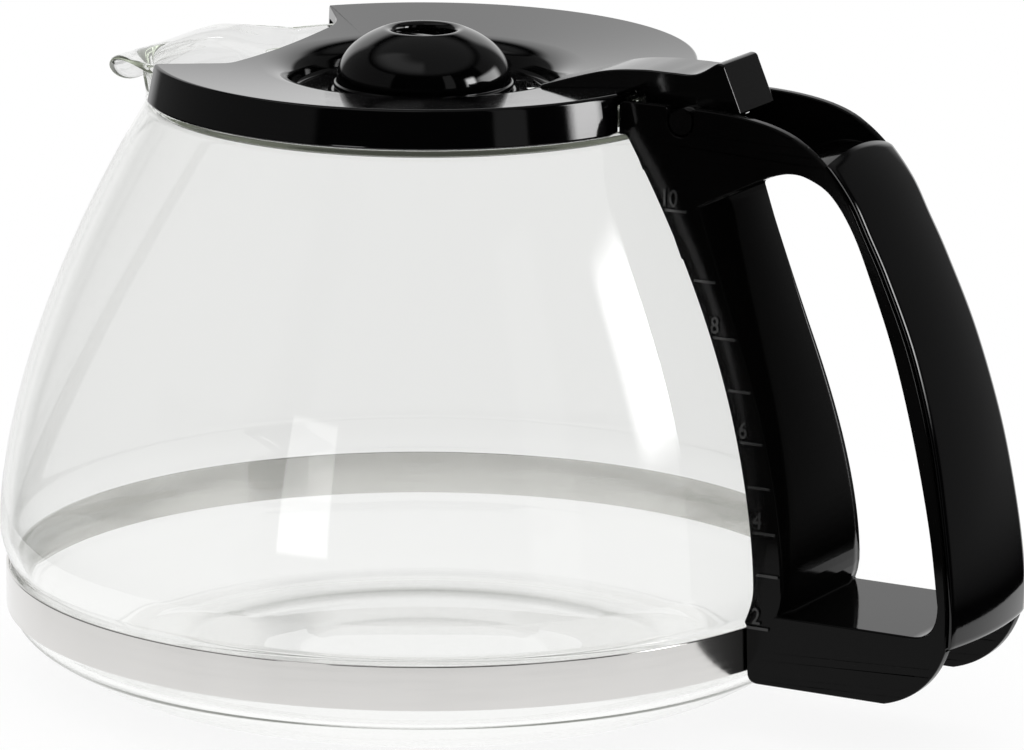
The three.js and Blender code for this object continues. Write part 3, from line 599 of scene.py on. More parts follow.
strip, strip_in, strip_out = nodes_tree("swept_strip", "Height", "Thickness", "Edge")
path, upright, section, corner, sweep, real, paint = geometry_nodes(
    strip, "MeshToCurve", "SetCurveNormal", "CurvePrimitiveQuadrilateral", "FilletCurve", "CurveToMesh",
    "RealizeInstances", "SetMaterial")
upright.mode = "Z_UP"
corner.mode = "POLY"
fill(corner, Count=3)
fill(sweep, Fill_Caps=True)
wires(strip, [
    (strip_in, "Geometry", path, "Mesh"), (path, "Curve", upright, "Curve"),
    (strip_in, "Thickness", section, "Width"), (strip_in, "Height", section, "Height"),
    (section, "Curve", corner, "Curve"), (strip_in, "Edge", corner, "Radius"),
    (upright, "Curve", sweep, "Curve"), (corner, "Curve", sweep, "Profile Curve"),
    (sweep, "Mesh", real, "Geometry"), (real, "Geometry", paint, "Geometry"),
    (strip_in, "Finish", paint, "Material"), (paint, "Geometry", strip_out, "Geometry")])
print("swept_strip has", len(strip.nodes), "nodes")

# %% The band on its path
BAND_T, BAND_MID_R, BAND_EDGE, HOOK_X, NUT_HALF, HOOK_Y = 0.6, 74.45, 0.2, 81.25, 4.0, 2.5
ARC_GAP, ARC_STEPS = 0.006, 320
side_y, hook_x, band_z = NUT_HALF + FIT + BAND_T / 2, HOOK_X + BAND_T / 2, (BAND_LOW + BAND_HIGH) / 2
first = math.asin(side_y / BAND_MID_R)
bow = BAND_MID_R * math.cos(first)
ends = filleted([(hook_x, HOOK_Y), (hook_x, side_y, 0.5), (bow + 1.2, side_y)], steps=4)
arc_from, arc_to = first + ARC_GAP, 2 * math.pi - first - ARC_GAP
arc_turns = [mix(arc_from, arc_to, i / ARC_STEPS) for i in range(ARC_STEPS + 1)]
arc = [(BAND_MID_R * math.cos(a), BAND_MID_R * math.sin(a)) for a in arc_turns]
route = ends + arc + [(x, -y) for x, y in reversed(ends)]
trail = bpy.data.meshes.new("waist_band")
route_edges = [(i, i + 1) for i in range(len(route) - 1)]
trail.from_pydata([(x * MM, y * MM, band_z * MM) for x, y in route], route_edges, [])
waist_band = placed("waist_band", trail)
strip_sizes = {"Height": (BAND_HIGH - BAND_LOW) * MM, "Thickness": BAND_T * MM, "Edge": BAND_EDGE * MM}
driven_by(waist_band, strip, {**strip_sizes, "Finish": polished_steel})
mended(waist_band.data)
evened(waist_band)
hand_over(waist_band, "steel_band", "jug", polished_steel)

# %% [markdown]
# ## The handle
# The handle frame is one moulding: a channel with two side walls, which swells at the grip and follows the
# glass. It is cut from drawn outlines as the frame is, only with finer lines, then every edge is rounded as
# in a mould. A subdivision surface would round the edges too, but it would blur the hollows and the hinge
# slots.

# %% Lines of the handle
REACH, FINGER_LOW, FINGER_HIGH, WEB = 34.0, 23.2, 101.0, 1.9
BRACKET_TOP, BRACKET_X, FOOT_Z = 110.4, 46.0, 10.3
HALF_END, HALF_LOW, SIDE_WALL, GRIP_T, GLASS_GAP = 12.2, 15.2, 2.0, 1.6, 0.45
BRACKET_H = BRACKET_TOP - FINGER_HIGH
SWELL_Z, SWELL_SPAN = 26.5, 38
UPRIGHT_T, FLARE, FLARE_FROM, FLARE_SPAN = 4.6, 2.5, 0.5455, 0.3585


def half_width(z):
    return HALF_END + (HALF_LOW - HALF_END) * math.exp(-(((z - SWELL_Z) / SWELL_SPAN) ** 2))


def swell_step(z):
    """Growth of the half width over a millimetre of height."""
    return half_width(z + 0.5) - half_width(z - 0.5)


def wall_normal(spot, facing):
    return Vector((0, math.copysign(1, facing.y), -swell_step(spot.z)))


def upright_face(z):
    share = (z - FINGER_LOW) / (FINGER_HIGH - FINGER_LOW)
    return body_radius(z) + UPRIGHT_T + FLARE * max(0, (share - FLARE_FROM) / FLARE_SPAN) ** 2


def grip_points(shares, out):
    return [(GLASS_R + REACH * (1 - loss) + out, mix(FINGER_LOW, FINGER_HIGH, up)) for loss, up in shares]


grip_inside = spline(grip_points([
    (-0.0177, 0.0768), (0.0397, 0.2382), (0.1471, 0.4302), (0.2824, 0.6223), (0.4236, 0.7785),
    (0.5382, 0.8886), (0.6617, 0.9629), (0.7941, 0.9949), (0.9, 1), (1.0059, 0.9885)], 0), 108)
far_x = GLASS_R + REACH
grip_outside = [
    (far_x - REACH * 1.0824, BRACKET_TOP), (far_x - REACH * 0.8795, BRACKET_TOP - BRACKET_H * 0.3191),
    (far_x - REACH * 0.7618 + GRIP_T, BRACKET_TOP - BRACKET_H * 0.8298 + GRIP_T / 2)]
grip_outside += grip_points([
    (0.6147, 0.9556), (0.5147, 0.8758), (0.4059, 0.7836), (0.247, 0.6248),
    (0.1118, 0.4328), (0.025, 0.2407), (-0.022, 0.0768), (-0.0185, -0.025)], GRIP_T)
BEND_X, BEND_Z = 81.5, 90
back_line = [p for p in spline(grip_outside, 110) if p[0] > BEND_X or p[1] < BEND_Z]
back_line = bend((62, BRACKET_TOP), (76, BRACKET_TOP - 0.2), back_line[0], 14) + back_line[1:]
print("grip from", back_line[0], "to", back_line[-1])

# %% Outlines that are kept and cut
end_x = back_line[-1][0]
frame_outline = [(BRACKET_X, LEDGE_Z + FIT), (BRACKET_X, BRACKET_TOP - 0.6), (BRACKET_X + 0.6, BRACKET_TOP)]
frame_outline += back_line
frame_outline += bend(back_line[-1], (end_x - 2.95, FOOT_Z + 2.36), (end_x - 11.8, FOOT_Z), 18)[1:]
frame_outline += [(BASE_R, FOOT_Z)]
finger_top = FINGER_HIGH - 7.6
finger_outline = [(upright_face(z), z) for z in (mix(finger_top, FINGER_LOW, i / 40) for i in range(41))]
grip_x = grip_inside[0][0]
finger_outline += bend((grip_x - 5, FINGER_LOW), (grip_x, FINGER_LOW), grip_inside[0], 12) + grip_inside[1:]
roof = moved_in([p for p in reversed(grip_inside) if p[1] > FINGER_HIGH - 3.2], WEB)
low_z = finger_top + WEB
sill = LEDGE_Z + WEB + GLASS_GAP
bracket_hollow = [
    (BRACKET_X - 9, BRACKET_TOP + 9), (BRACKET_X - 9, sill), (SHOULDER_R + GLASS_GAP, sill),
    (body_radius(low_z) + GLASS_GAP + WEB + 1.4, low_z + 0.6), (upright_face(low_z), low_z)]
bracket_hollow += roof + [(roof[-1][0] + 9, roof[-1][1] + 5), (roof[-1][0] + 9, BRACKET_TOP + 9)]
CROSS_X, CROSS_T, FRONT_X, COVER_END = 82.45, 2.5, 77.25, 21.6
foot_roof = FINGER_LOW - WEB
foot_hollow = [
    (CROSS_X + CROSS_T, FOOT_Z - 5), (far_x + 9, FOOT_Z - 5), (far_x + 9, COVER_END - FIT),
    (far_x + 0.8, COVER_END - FIT), (far_x - 1, foot_roof + 0.3), (far_x - 3.6, foot_roof),
    (CROSS_X + CROSS_T, foot_roof)]
CREST_STEPS, CREST_SET, CREST_T = 48, 4.6, 2.8
crest = []
for i in range(CREST_STEPS + 1):
    share = i / CREST_STEPS
    z = mix(FINGER_LOW - WEB / 2, FINGER_HIGH - 6, share)
    y1 = HALF_END - CREST_SET * mix(1, 1.3, share) * HALF_END / half_width(z)
    x0, x1 = upright_face(z) - 0.5, upright_face(z) + CREST_T * mix(0.25, 1.3, share)
    crest.append([(x0, -HALF_END, z), (x1, -y1, z), (x1, y1, z), (x0, HALF_END, z)])
print("outlines of", len(frame_outline), "and", len(finger_outline), "points")

# %% Cut the handle frame
HINGE_X, HINGE_Z, SLOT_R, SCREW_Z = 58.0, 107.8, 2.55, 16.3
wide, inner, window = HALF_END + 1, HALF_END - SIDE_WALL, NUT_HALF + 1.2
handle_shell = drawn("handle_shell", frame_outline, -HALF_END, HALF_END)
joined(handle_shell, [drawn("finger_hole", finger_outline, -wide, wide)], "DIFFERENCE")
joined(handle_shell, [lofted("crest", crest)], "UNION")
screw_hole = rod("screw_hole", 0, 0, 2.2, CROSS_X - 1, CROSS_X + CROSS_T + 1, 40)
screw_hole.data.transform(Matrix.Translation((0, 0, SCREW_Z * MM)) @ Matrix.Rotation(-math.pi / 2, 4, "Z"))
joined(handle_shell, [
    drawn("bracket_hollow", bracket_hollow, -inner, inner), drawn("foot_hollow", foot_hollow, -inner, inner),
    block("clamp_room", FRONT_X, CROSS_X, -inner, inner, FOOT_Z - 5, foot_roof), screw_hole,
    block("window", BASE_R, FRONT_X + 1, -window, window, BAND_LOW - FIT, BAND_HIGH + FIT),
    rod("slot_end", HINGE_X, HINGE_Z, SLOT_R, -wide, wide),
    block("slot", HINGE_X - SLOT_R, HINGE_X + SLOT_R, -wide, wide, HINGE_Z, BRACKET_TOP + 5)], "DIFFERENCE")
print("channel with", len(handle_shell.data.polygons), "faces")

# %% Swell the grip and fit it to the glass
SLICES = 67
bm = bmesh.new()
bm.from_mesh(handle_shell.data)
for i in range(1, SLICES):
    level = (0, 0, mix(FOOT_Z, BRACKET_TOP, i / SLICES) * MM)
    pieces = bm.verts[:] + bm.edges[:] + bm.faces[:]
    bmesh.ops.bisect_plane(bm, geom=pieces, dist=MERGE, plane_co=level, plane_no=(0, 0, 1))
for vertex in bm.verts:
    vertex.co.y *= half_width(vertex.co.z / MM) / HALF_END
bm.to_mesh(handle_shell.data)
bm.free()
seat = SEAT_R + FIT + BAND_T + FIT
wall_line = [p for p in outside if p[1] > BAND_HIGH + 2 * FIT and p[0] > NECK_R + 1.3]
neck_x = NECK_R + 0.5 + GLASS_GAP / 2
CORNER = 2.0
room = [(0, -9), (seat + CORNER, -9)]
room += bend((seat + CORNER, FOOT_Z), (seat, FOOT_Z), (seat, FOOT_Z + CORNER), 8)
room += [(seat, BAND_HIGH + 2 * FIT)]
room += [(r + GLASS_GAP, z) for r, z in wall_line]
room += [(neck_x, LEDGE_Z + GLASS_GAP / 2), (neck_x, RIM_Z + 9), (0, RIM_Z + 9)]
joined(handle_shell, [turned("glass_room", room, even_angles(240))], "DIFFERENCE")
softened(cleaned(handle_shell, 0.002), 0.45, 34)
level_faces(handle_shell, is_side, wall_normal)
hand_over(handle_shell, "handle_frame", "jug", satin_black)

# %% [markdown]
# ## The grip cover
# A thin crowned plate lies over the outside of the grip. It is a loft: one section with a flat under side,
# thin edges and a rounded back is carried along the grip. Its top end runs on in the middle, as an arch.

# %% Loft the cover
COVER_T, COVER_EDGE, COVER_INSET, COVER_TOP, COVER_ARCH = 1.8, 0.5, 0.8, 103.0, 1.0
cover_path = [p for p in spline(grip_outside, 420) if COVER_END <= p[1] <= COVER_TOP]
section = [(-1, 0.0), (-1, COVER_EDGE - 0.15), (-0.996, COVER_EDGE - 0.05)]
section += [(s, mix(COVER_T, COVER_EDGE, s * s)) for s in (mix(-0.985, 0.985, i / 24) for i in range(25))]
section += [(0.996, COVER_EDGE - 0.05), (1, COVER_EDGE - 0.15), (1, 0.0), (0.5, 0.0), (0, 0.0), (-0.5, 0.0)]
rings, picks = [], 130
for i in range(picks + 1):
    k = round(i * (len(cover_path) - 1) / picks)
    at = cover_path[k]
    before, after = cover_path[max(k - 1, 0)], cover_path[min(k + 1, len(cover_path) - 1)]
    run = math.dist(before, after)
    along = ((after[0] - before[0]) / run, (after[1] - before[1]) / run)
    ease = max(0, 1 - i / 6)
    trim = [0.35, 0.12, 0][min(i, picks - i, 2)]
    ring = []
    for s, rise in section:
        off = FIT + (min(rise, max(rise - trim, 0.05)) if rise > 0 else 0)
        slide = -COVER_ARCH * (1 - s * s) * ease
        x, z = at[0] - along[1] * off + along[0] * slide, at[1] + along[0] * off + along[1] * slide
        ring.append((x, s * (half_width(at[1]) - COVER_INSET), z))
    rings.append(ring)
grip_plate = lofted("grip_plate", rings)
smoothed(grip_plate, 55)
hand_over(grip_plate, "grip_cover", "jug", gloss_black)

# %% [markdown]
# ## The raised cup scale
# Nine short ribs and some numerals stand on the near side of the handle. The ribs repeat, so Geometry Nodes
# set one small bar on each of nine points; the points carry the lean of the swelling wall. The numerals are
# text that becomes a mesh.

# %% Tree that sets the ribs
ribs, ribs_in, ribs_out = nodes_tree("scale_ribs", "Length", "Width", "Relief")
spots, lean, bar, setting, real, paint = geometry_nodes(
    ribs, "MeshToPoints", "InputNamedAttribute", "MeshCube", "InstanceOnPoints", "RealizeInstances",
    "SetMaterial")
bar_size = node(ribs, "CombineXYZ")
lean.data_type = "FLOAT_VECTOR"
fill(lean, Name="lean")
wires(ribs, [
    (ribs_in, "Geometry", spots, "Mesh"), (ribs_in, "Length", bar_size, "X"),
    (ribs_in, "Relief", bar_size, "Y"), (ribs_in, "Width", bar_size, "Z"),
    (bar_size, "Vector", bar, "Size"), (spots, "Points", setting, "Points"),
    (bar, "Mesh", setting, "Instance"), (lean, "Attribute", setting, "Rotation"),
    (setting, "Instances", real, "Geometry"), (real, "Geometry", paint, "Geometry"),
    (ribs_in, "Finish", paint, "Material"), (paint, "Geometry", ribs_out, "Geometry")])
print("scale_ribs has", len(ribs.nodes), "nodes")

# %% Ribs on the wall
RIB_LENGTH, RIB_WIDTH, RIB_RELIEF, RIB_GAP = 4.2, 0.5, 0.9, 1.1
scale_heights = [20.7, 30.3, 37.7, 45.6, 53.2, 62.0, 70.9, 80.5, 92.3]


def wall_edge(z):
    """X of the near wall's edge against the glass."""
    return math.sqrt((body_radius(z) + GLASS_GAP) ** 2 - half_width(z) ** 2)


def wall_lean(z):
    return math.atan(swell_step(z))


spots_mesh = bpy.data.meshes.new("scale_marks")
middles = [(wall_edge(z) + RIB_GAP + RIB_LENGTH / 2, -half_width(z), z) for z in scale_heights]
spots_mesh.from_pydata([(x * MM, y * MM, z * MM) for x, y, z in middles], [], [])
turns = spots_mesh.attributes.new("lean", "FLOAT_VECTOR", "POINT")
turns.data.foreach_set("vector", [v for z in scale_heights for v in (wall_lean(z), 0, 0)])
scale_marks = placed("scale_marks", spots_mesh)
rib_sizes = {"Length": RIB_LENGTH * MM, "Width": RIB_WIDTH * MM, "Relief": RIB_RELIEF * MM}
driven_by(scale_marks, ribs, {**rib_sizes, "Finish": scale_sheen_black})
print("ribs made:", len(scale_marks.data.polygons) // 6)

# %% Numerals
SIGN_SIZE, SIGN_RELIEF, SIGN_EDGE, SIGN_NARROW = 4.2, 0.38, 0.05, 0.82
numerals = bmesh.new()
numerals.from_mesh(scale_marks.data)
for words, z in (("2", 20.7), ("4", 37.7), ("6", 53.2), ("8", 70.9), ("10", 92.3)):
    text = bpy.data.curves.new("numeral_" + words, "FONT")
    text.body, text.size, text.resolution_u = words, SIGN_SIZE * MM, 4
    text.extrude, text.bevel_depth = SIGN_RELIEF * MM, SIGN_EDGE * MM
    holder = placed("numeral_" + words, text)
    graph = bpy.context.evaluated_depsgraph_get()
    sign = bpy.data.meshes.new_from_object(holder.evaluated_get(graph), depsgraph=graph)
    at = Vector((wall_edge(z + 2) + 1.2, -half_width(z + 2.2), z + 0.75)) * MM
    leaned = Matrix.Translation(at) @ Matrix.Rotation(wall_lean(z + 2), 4, "X")
    sign.transform(leaned @ Matrix.Rotation(math.pi / 2, 4, "X") @ Matrix.Scale(SIGN_NARROW, 4, (1, 0, 0)))
    numerals.from_mesh(sign)
    bpy.data.objects.remove(holder)
numerals.to_mesh(scale_marks.data)
numerals.free()
scale_marks.data.materials.clear()
scale_marks.data.materials.append(scale_sheen_black)
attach(scale_marks, "jug")
print("scale with", len(scale_marks.data.polygons), "faces")

# %% [markdown]
# ## The lid
# The lid is turned too: a skirt round the neck, a top that falls towards a trough, and a collar inside the
# neck. The pouring notch, the flat back, the pocket for the lever and the four drains are cut out of it.
# The cuts are booleans, because their edges have to stay straight; a small bevel rounds them afterwards.

# %% Profile of the lid
LID_TOP, LID_UNDER, LID_EDGE, LID_T = 111.9, 109.2, 48.1, 2.7
SKIRT_IN, SKIRT_OUT, SKIRT_LOW = 47.8, 49.7, 104.8
TROUGH_R, TROUGH_EDGE, TROUGH_FLOOR, SEAT_RING, SEAT_Z, STEM_R = 24.0, 109.4, 105.2, 16.0, 105.8, 15.0
COLLAR_R, COLLAR_H = 43.2, 5.8


def lid_top(radius):
    return mix(TROUGH_EDGE, LID_TOP, (radius - TROUGH_R) / (LID_EDGE - TROUGH_R))


ROLL = 5.0
roll_at = (TROUGH_R + ROLL, lid_top(TROUGH_R + ROLL))
lid_profile = filleted([
    (SKIRT_IN, SKIRT_LOW + 0.3), (SKIRT_OUT - 0.7, SKIRT_LOW), (SKIRT_OUT + 0.05, SKIRT_LOW + 0.25, 1.0),
    (LID_EDGE + 0.25, LID_TOP - 0.05, 0.7), roll_at], steps=6)
lid_profile += bend(roll_at, (TROUGH_R + 0.2, TROUGH_EDGE), (TROUGH_R - 0.4, TROUGH_EDGE - 2.2), 12)[1:]
collar_in, collar_low, trough_low = COLLAR_R - 1.8, LID_UNDER - COLLAR_H, TROUGH_FLOOR - 1.5
lid_profile += filleted([
    lid_profile[-1], (TROUGH_R - 0.8, TROUGH_FLOOR, 0.8), (SEAT_RING + 0.8, TROUGH_FLOOR, 0.3),
    (SEAT_RING + 0.5, SEAT_Z, 0.3), (STEM_R + FIT, SEAT_Z), (STEM_R + FIT, trough_low, 0.3),
    (TROUGH_R + 0.8, trough_low, 0.8), (TROUGH_R + 1.4, TROUGH_EDGE - LID_T, 0.6),
    (collar_in, lid_top(collar_in) - LID_T, 0.6), (collar_in, collar_low, 0.4), (COLLAR_R, collar_low, 0.6),
    (COLLAR_R, LID_UNDER, 0.4), (SKIRT_IN, LID_UNDER, 0.4), (SKIRT_IN, SKIRT_LOW + 0.3)], steps=6)[1:]
lid_shell = turned("lid_shell", lid_profile, even_angles(240))
print("lid profile of", len(lid_profile), "points")

# %% Cut the notch, the back, the pocket and the drains
NEAR_X, NEAR_Y, NEAR_SLANT, FAR_X, FAR_Y, FAR_SLANT, LID_BACK = 29.0, 18.5, 1.78, 30.5, 22.0, 1.2, 45.4
LEVER_HALF, LEVER_FRONT, BACK_HALF = 6.5, 27.0, 13.0
low, high, far = SKIRT_LOW - 7, LID_TOP + 5, SKIRT_OUT + 12
near_end, far_end = NEAR_Y + (far - NEAR_X) * NEAR_SLANT, FAR_Y + (far - FAR_X) * FAR_SLANT
notch = filleted([
    (-far, -near_end), (-NEAR_X, -NEAR_Y, 2.0), (-FAR_X, FAR_Y, 4.0), (-far, far_end)], steps=12)
pocket_x = LEVER_FRONT - FIT
pocket = [(pocket_x, lid_top(pocket_x) - 1), (far, lid_top(far) - 1), (far, high + 5), (pocket_x, high + 5)]
drains = []
for i in range(4):
    hole = block(f"drain_{i}", 18.5, 21.5, -4.5, 4.5, TROUGH_FLOOR - 5, TROUGH_FLOOR + 5)
    hole.data.transform(Matrix.Rotation(math.radians(45 + 90 * i), 4, "Z"))
    drains.append(hole)
joined(lid_shell, [
    drawn("notch", notch, low, high, "Z"), block("back", LID_BACK, far, -BACK_HALF, BACK_HALF, low, high),
    block("ends", LID_BACK + 1, far, -far, far, low, high),
    drawn("pocket", pocket, -LEVER_HALF - FIT, LEVER_HALF + FIT), *drains], "DIFFERENCE")
softened(cleaned(lid_shell, 0.04), 0.25, 38)
fall = (LID_TOP - TROUGH_EDGE) / (LID_EDGE - TROUGH_R)
TOP_ON = 0.98


def is_lid_top(face):
    return face.normal.z > TOP_ON and math.hypot(face.center.x, face.center.y) > (TROUGH_R + ROLL) * MM


def lid_normal(spot, facing):
    radius = math.hypot(spot.x, spot.y)
    return Vector((-fall * spot.x / radius, -fall * spot.y / radius, 1))


level_faces(lid_shell, is_lid_top, lid_normal)
hand_over(lid_shell, "lid_cover", "lid", gloss_black)

# %% [markdown]
# ## The drip dome and the lever
# The dome takes the drops from the filter through a bridged hole. It is turned, and the bridge is a small
# bar. The lever is a drawn outline with rounded edges; its trunnions are rods that lie in the slots of the
# bracket.

# %% Turn the dome
DOME_R, DOME_TOP, HOLE_R, DOME_WALL = 15.5, 116.5, 5.6, 1.6
dome_base = SEAT_Z + FIT
dome_skirt = dome_base + 0.9
widest = dome_skirt + 0.6
stem_low = dome_base - 3.4
dome_profile = filleted([
    (STEM_R, stem_low), (STEM_R, dome_base), (SEAT_RING, dome_base, 0.3), (SEAT_RING, dome_skirt, 0.4),
    (DOME_R, dome_skirt, 0.3), (DOME_R, widest)], steps=4)
sweep_to = math.acos((HOLE_R + 1.6) / DOME_R)
for i in range(1, 41):
    a = sweep_to * i / 40
    height = widest + (DOME_TOP - widest) * math.sin(a) / math.sin(sweep_to)
    dome_profile.append((DOME_R * math.cos(a), height))
dome_profile += bend(dome_profile[-1], (HOLE_R, DOME_TOP + 0.1), (HOLE_R, DOME_TOP - 1.1), 8)[1:]
under, stem_in = DOME_TOP - DOME_WALL - 0.9, STEM_R - DOME_WALL
sweep_in = math.acos(HOLE_R / stem_in)
for i in range(24, -1, -1):
    a = sweep_in * i / 24
    dome_profile.append((stem_in * math.cos(a), mix(widest - 1, under, math.sin(a) / math.sin(sweep_in))))
dome_profile += [(stem_in, stem_low), (STEM_R, stem_low)]
dome = turned("inlet_dome", dome_profile, even_angles(144))
joined(dome, [block("bridge", -HOLE_R - 0.6, HOLE_R + 0.6, -0.5, 0.5, under + 0.2, DOME_TOP - 1.2)], "UNION")
smoothed(dome, 45)
hand_over(dome, "drip_dome", "lid", gloss_black)

# %% Draw the lever
LEVER_TOP, THUMB_TOP, THUMB_X, BARREL_R, PIN_R = 115.1, 117.7, 66.3, 3.5, 2.2
tip = THUMB_X - 2.9
lever_outline = [(LEVER_FRONT, lid_top(LEVER_FRONT) - 0.7), (LID_BACK + 1, lid_top(LID_BACK) - 0.7)]
lever_outline += [(LID_BACK + 1.4, HINGE_Z - 0.4), (HINGE_X - 5, HINGE_Z - 1)]
barrel = [math.pi * (1.06 + 0.94 * i / 24) for i in range(25)]
lever_outline += [(HINGE_X + BARREL_R * math.cos(a), HINGE_Z + BARREL_R * math.sin(a)) for a in barrel]
lever_outline += [(THUMB_X - 1.6, HINGE_Z + 0.9), (THUMB_X + 0.6, HINGE_Z + 1.2)]
lever_outline += bend((tip + 0.2, THUMB_TOP - 1.0), (tip, THUMB_TOP + 0.1), (tip - 1.3, THUMB_TOP - 0.1), 6)
lever_outline += spline([
    (tip - 1.9, THUMB_TOP - 0.4), (tip - 5.6, LEVER_TOP + 0.2), (HINGE_X - 5, LEVER_TOP),
    (HINGE_X - 11, LEVER_TOP - 0.1), (HINGE_X - 19, LEVER_TOP - 1.2),
    (LEVER_FRONT, lid_top(LEVER_FRONT) + 0.5)], 48)
thumb_lever = drawn("thumb_lever", lever_outline, -LEVER_HALF, LEVER_HALF)
softened(thumb_lever, 0.5, 34)
pin_end = HALF_END - FIT
joined(thumb_lever, [rod("trunnions", HINGE_X, HINGE_Z, PIN_R, -pin_end, pin_end)], "UNION")
level_faces(evened(thumb_lever, 45), is_side, lambda spot, facing: Vector((0, facing.y, 0)))
hand_over(thumb_lever, "lid_lever", "lid", lever_black)

# %% [markdown]
# ## The clamp inside the foot
# The nut and the screw are small, plain and almost hidden, so their CAD meshes stay and only get the dull
# zinc of such fasteners.

# %% Finish the fasteners
for name in ("clamp_nut", "clamp_screw"):
    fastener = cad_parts[name]
    fastener.data.materials.clear()
    fastener.data.materials.append(plain_steel)
    print(name, "keeps its CAD mesh with", plain_steel.name)

# %% [markdown]
# ## Floor, studio and camera
# The jug stands on white in a studio that is white behind, grey at the sides and above, and dark around the
# camera: the black parts and the glass show that as reflections. The walls of the studio are the world's
# colour by direction, and three light boxes stand near the jug. The camera was fitted to the circles and
# straight edges of the photograph.

# %% White floor that keeps a shadow
TABLE_R, VIEW_TURN = 175, math.radians(30)
table_edge = [(TABLE_R * math.cos(a), TABLE_R * math.sin(a)) for a in even_angles(96)]
floor = drawn("floor", table_edge, -1, -0.02, "Z")
pale = bpy.data.materials.new("white_floor")
pale.use_nodes = True
tree = pale.node_tree
tree.nodes.remove(tree.nodes["Principled BSDF"])
matt = node(tree, "BsdfDiffuse", Color=(0.14, 0.14, 0.14, 1))
glow = node(tree, "Emission", Color=(1, 1, 1, 1), Strength=0.88)
lit = node(tree, "AddShader")
white = node(tree, "Emission", Color=(1, 1, 1, 1))
spot = node(tree, "TexCoord")
reach = node(tree, "VectorMath")
reach.operation = "LENGTH"
fade = node(tree, "MapRange", From_Min=0.1, From_Max=0.174, To_Min=1.0, To_Max=0.86)
plain = node(tree, "BsdfDiffuse", Color=(0.85, 0.85, 0.85, 1))
ray = node(tree, "LightPath")
seen = node(tree, "MixShader")
other = node(tree, "MixShader")
mirrored = maths(tree, "MAXIMUM", ray.outputs["Is Glossy Ray"], ray.outputs["Is Transmission Ray"])
wire(tree, mirrored, other.inputs[0])
wires(tree, [
    (matt, 0, lit, 0), (glow, 0, lit, 1), (spot, "Object", reach, 0), (reach, "Value", fade, "Value"),
    (fade, "Result", white, "Strength"), (ray, "Is Camera Ray", seen, 0), (plain, 0, other, 1),
    (white, 0, other, 2), (other, 0, seen, 1), (lit, 0, seen, 2),
    (seen, 0, tree.nodes["Material Output"], "Surface")])
floor.data.materials.append(pale)
floor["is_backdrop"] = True
print("table of", 2 * TABLE_R, "mm across")

# %% Directions in the studio
scene = bpy.context.scene
world = bpy.data.worlds.new("studio")
scene.world = world
world.use_nodes = True
tree = world.node_tree
way = node(tree, "TexCoord")


def dotted(direction):
    made = node(tree, "VectorMath")
    made.operation = "DOT_PRODUCT"
    made.inputs[1].default_value = direction
    wire(tree, way.outputs["Generated"], made.inputs[0])
    return made.outputs["Value"]


def between(tree, value, low, high, soft):
    """1 between two limits, with soft edges."""
    shares = []
    for limit, to in ((low, 1), (high, 0)):
        edge = node(tree, "MapRange", From_Min=limit - soft, From_Max=limit + soft)
        fill(edge, To_Min=1.0 - to, To_Max=float(to))
        edge.interpolation_type = "SMOOTHSTEP"
        wire(tree, value, edge.inputs["Value"])
        shares.append(edge.outputs["Result"])
    return maths(tree, "MULTIPLY", *shares)


to_right = dotted((math.cos(VIEW_TURN), math.sin(VIEW_TURN), 0))
to_camera = dotted((math.sin(VIEW_TURN), -math.cos(VIEW_TURN), 0))
turn = maths(tree, "DEGREES", maths(tree, "ARCTAN2", to_right, to_camera))
rise = maths(tree, "DEGREES", maths(tree, "ARCSINE", dotted((0, 0, 1))))
print("directions are measured from the camera and from the table")

# %% Walls and light boxes of the studio
panels = [
    ("back wall, right", 152, 190, -22, 34, 6, 1.0),
    ("back wall, left", -190, -146, -22, 34, 6, 1.0),
    ("left wall", -146, -45, -9, 40, 2, 0.13),
    ("narrow strip", 29, 43, -9, 40, 1, 0.3),
    ("right wall", 92, 152, -9, 40, 4, 0.13),
    ("ceiling, left", -120, 0, 52, 74, 8, 0.4),
    ("ceiling", -190, 190, 46, 100, 6, 0.2),
]
DARK, THROUGH_GLASS_SHADE = 0.004, 0.86
studio = DARK
for _label, turn_low, turn_high, rise_low, rise_high, soft, level in panels:
    aside, up = between(tree, turn, turn_low, turn_high, soft), between(tree, rise, rise_low, rise_high, soft)
    panel = maths(tree, "MULTIPLY", maths(tree, "MULTIPLY", aside, up), level)
    studio = maths(tree, "ADD", studio, panel)
path_of = node(tree, "LightPath")
choice = node(tree, "Mix")
through = maths(tree, "SUBTRACT", 1, path_of.outputs["Is Transmission Ray"])
wire(tree, maths(tree, "MULTIPLY", path_of.outputs["Is Glossy Ray"], through), choice.inputs["Factor"])
wire(tree, studio, choice.inputs["B"])
# Rays through the glass see the backdrop a little grey: painted shade for the light that the glass takes
# away.
seen_through = node(tree, "MapRange", To_Min=1.0, To_Max=THROUGH_GLASS_SHADE)
backdrop = tree.nodes["Background"]
fill(backdrop, Color=(1, 1, 1, 1))
wires(tree, [
    (path_of, "Is Transmission Ray", seen_through, "Value"), (seen_through, "Result", choice, "A"),
    (choice, "Result", backdrop, "Strength")])
world.cycles.sampling_method = "NONE"
scene.view_settings.view_transform = "Standard"
print("studio with", len(panels), "panels")

# %% Light boxes near the jug
view = Matrix.Rotation(VIEW_TURN, 3, "Z")


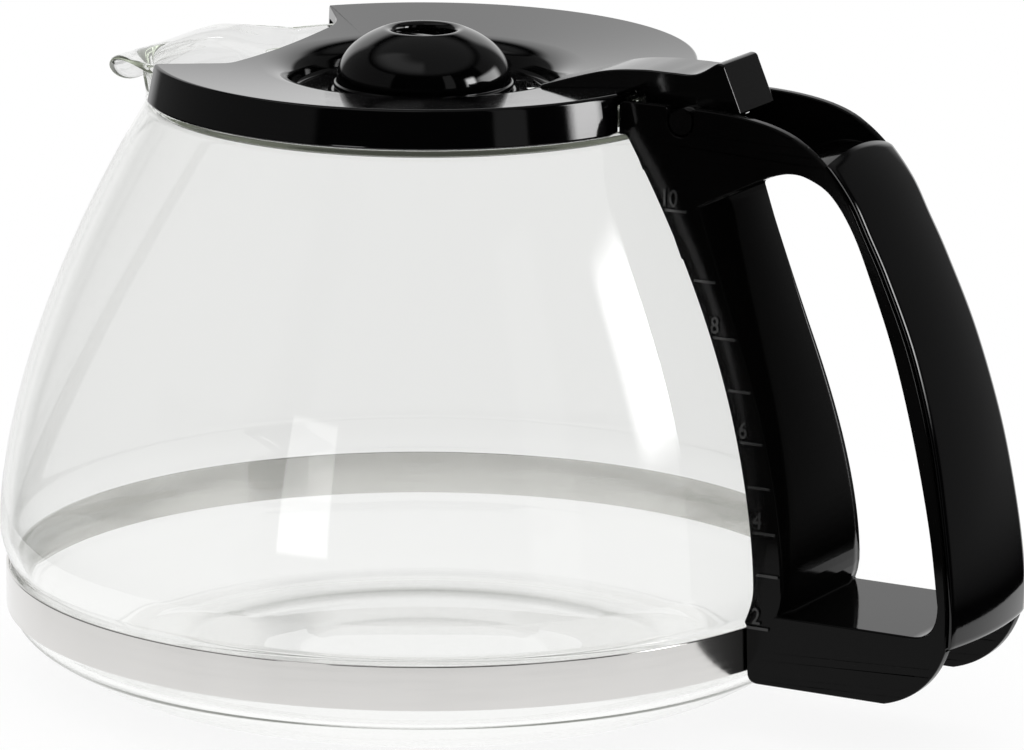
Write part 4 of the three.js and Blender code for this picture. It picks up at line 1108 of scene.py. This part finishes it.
def light_box(name, right, front, low, high, width, level, aim_at, soft, cone=180):
    """Upright lit panel that only mirrors show, at a place measured from the camera."""
    lamp = bpy.data.lights.new(name, "AREA")
    lamp.shape, lamp.size, lamp.size_y = "RECTANGLE", width * MM, (high - low) * MM
    lamp.spread = math.radians(cone)
    lamp.energy = level * math.pi * lamp.size * lamp.size_y
    lamp.use_nodes = True
    tree = lamp.node_tree
    sides = node(tree, "SeparateXYZ")
    wires(tree, [(node(tree, "NewGeometry"), "Parametric", sides, "Vector")])
    across_box, up_box = [between(tree, sides.outputs[k], soft / 2, 1 - soft / 2, soft / 2) for k in "XY"]
    wire(tree, maths(tree, "MULTIPLY", across_box, up_box), tree.nodes["Emission"].inputs["Strength"])
    box = placed(name, lamp)
    spot = view @ Vector((right, -front, (low + high) / 2)) * MM
    target = view @ Vector((*aim_at, (low + high) / 2)) * MM
    facing = (target - spot).to_track_quat("-Z", "Y").to_matrix().to_4x4()
    box.matrix_world = Matrix.Translation(spot) @ facing
    box.visible_camera = box.visible_transmission = box.visible_diffuse = False
    return box


light_box(
    "right_box", right=314, front=140, low=95, high=285, width=120, level=14.0, aim_at=(30, -42), soft=0.3)
light_box(
    "left_box", right=-100, front=196, low=44, high=126, width=48, level=0.8, aim_at=(-20, -69), soft=0.06,
    cone=80)
dome_box = light_box(
    "dome_box", right=344, front=-53, low=95, high=260, width=360, level=5.0, aim_at=(8, 0), soft=0.3)
only_dome = bpy.data.collections.new("only_dome")
only_dome.objects.link(dome)
dome_box.light_linking.receiver_collection = only_dome

# %% Camera fitted to the photograph
DISTANCE, HEIGHT, FOCAL_PX, FRAME_PX, SENSOR = 1385.4, 391.7, 7975.7, 1024, 36.0
pitch, yaw, roll = math.radians(13.724), math.radians(0.657), math.radians(0.272)
ahead = Vector((math.sin(yaw) * math.cos(pitch), math.cos(yaw) * math.cos(pitch), -math.sin(pitch)))
flat = Vector((math.cos(yaw), -math.sin(yaw), 0))
plumb = flat.cross(ahead)
across = math.cos(roll) * flat + math.sin(roll) * plumb
above = math.cos(roll) * plumb - math.sin(roll) * flat
aim = view @ Matrix((across, above, -ahead)).transposed()
lens = bpy.data.cameras.new("camera")
lens.sensor_fit, lens.sensor_width = "HORIZONTAL", SENSOR
lens.lens = FOCAL_PX / FRAME_PX * SENSOR
lens.clip_start, lens.clip_end = 0.05, 20.0
camera = placed("camera", lens)
camera.matrix_world = Matrix.Translation(view @ Vector((0, -DISTANCE, HEIGHT)) * MM) @ aim.to_4x4()
scene.camera = camera
print("camera at", [round(v, 3) for v in camera.location], "lens", round(lens.lens, 1))

# %% Sizes and finish
low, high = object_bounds()
for label, span in (("cad", (*cad_low, *cad_high)), ("visual", (*low, *high))):
    print(label, [round(v / MM, 1) for v in span])
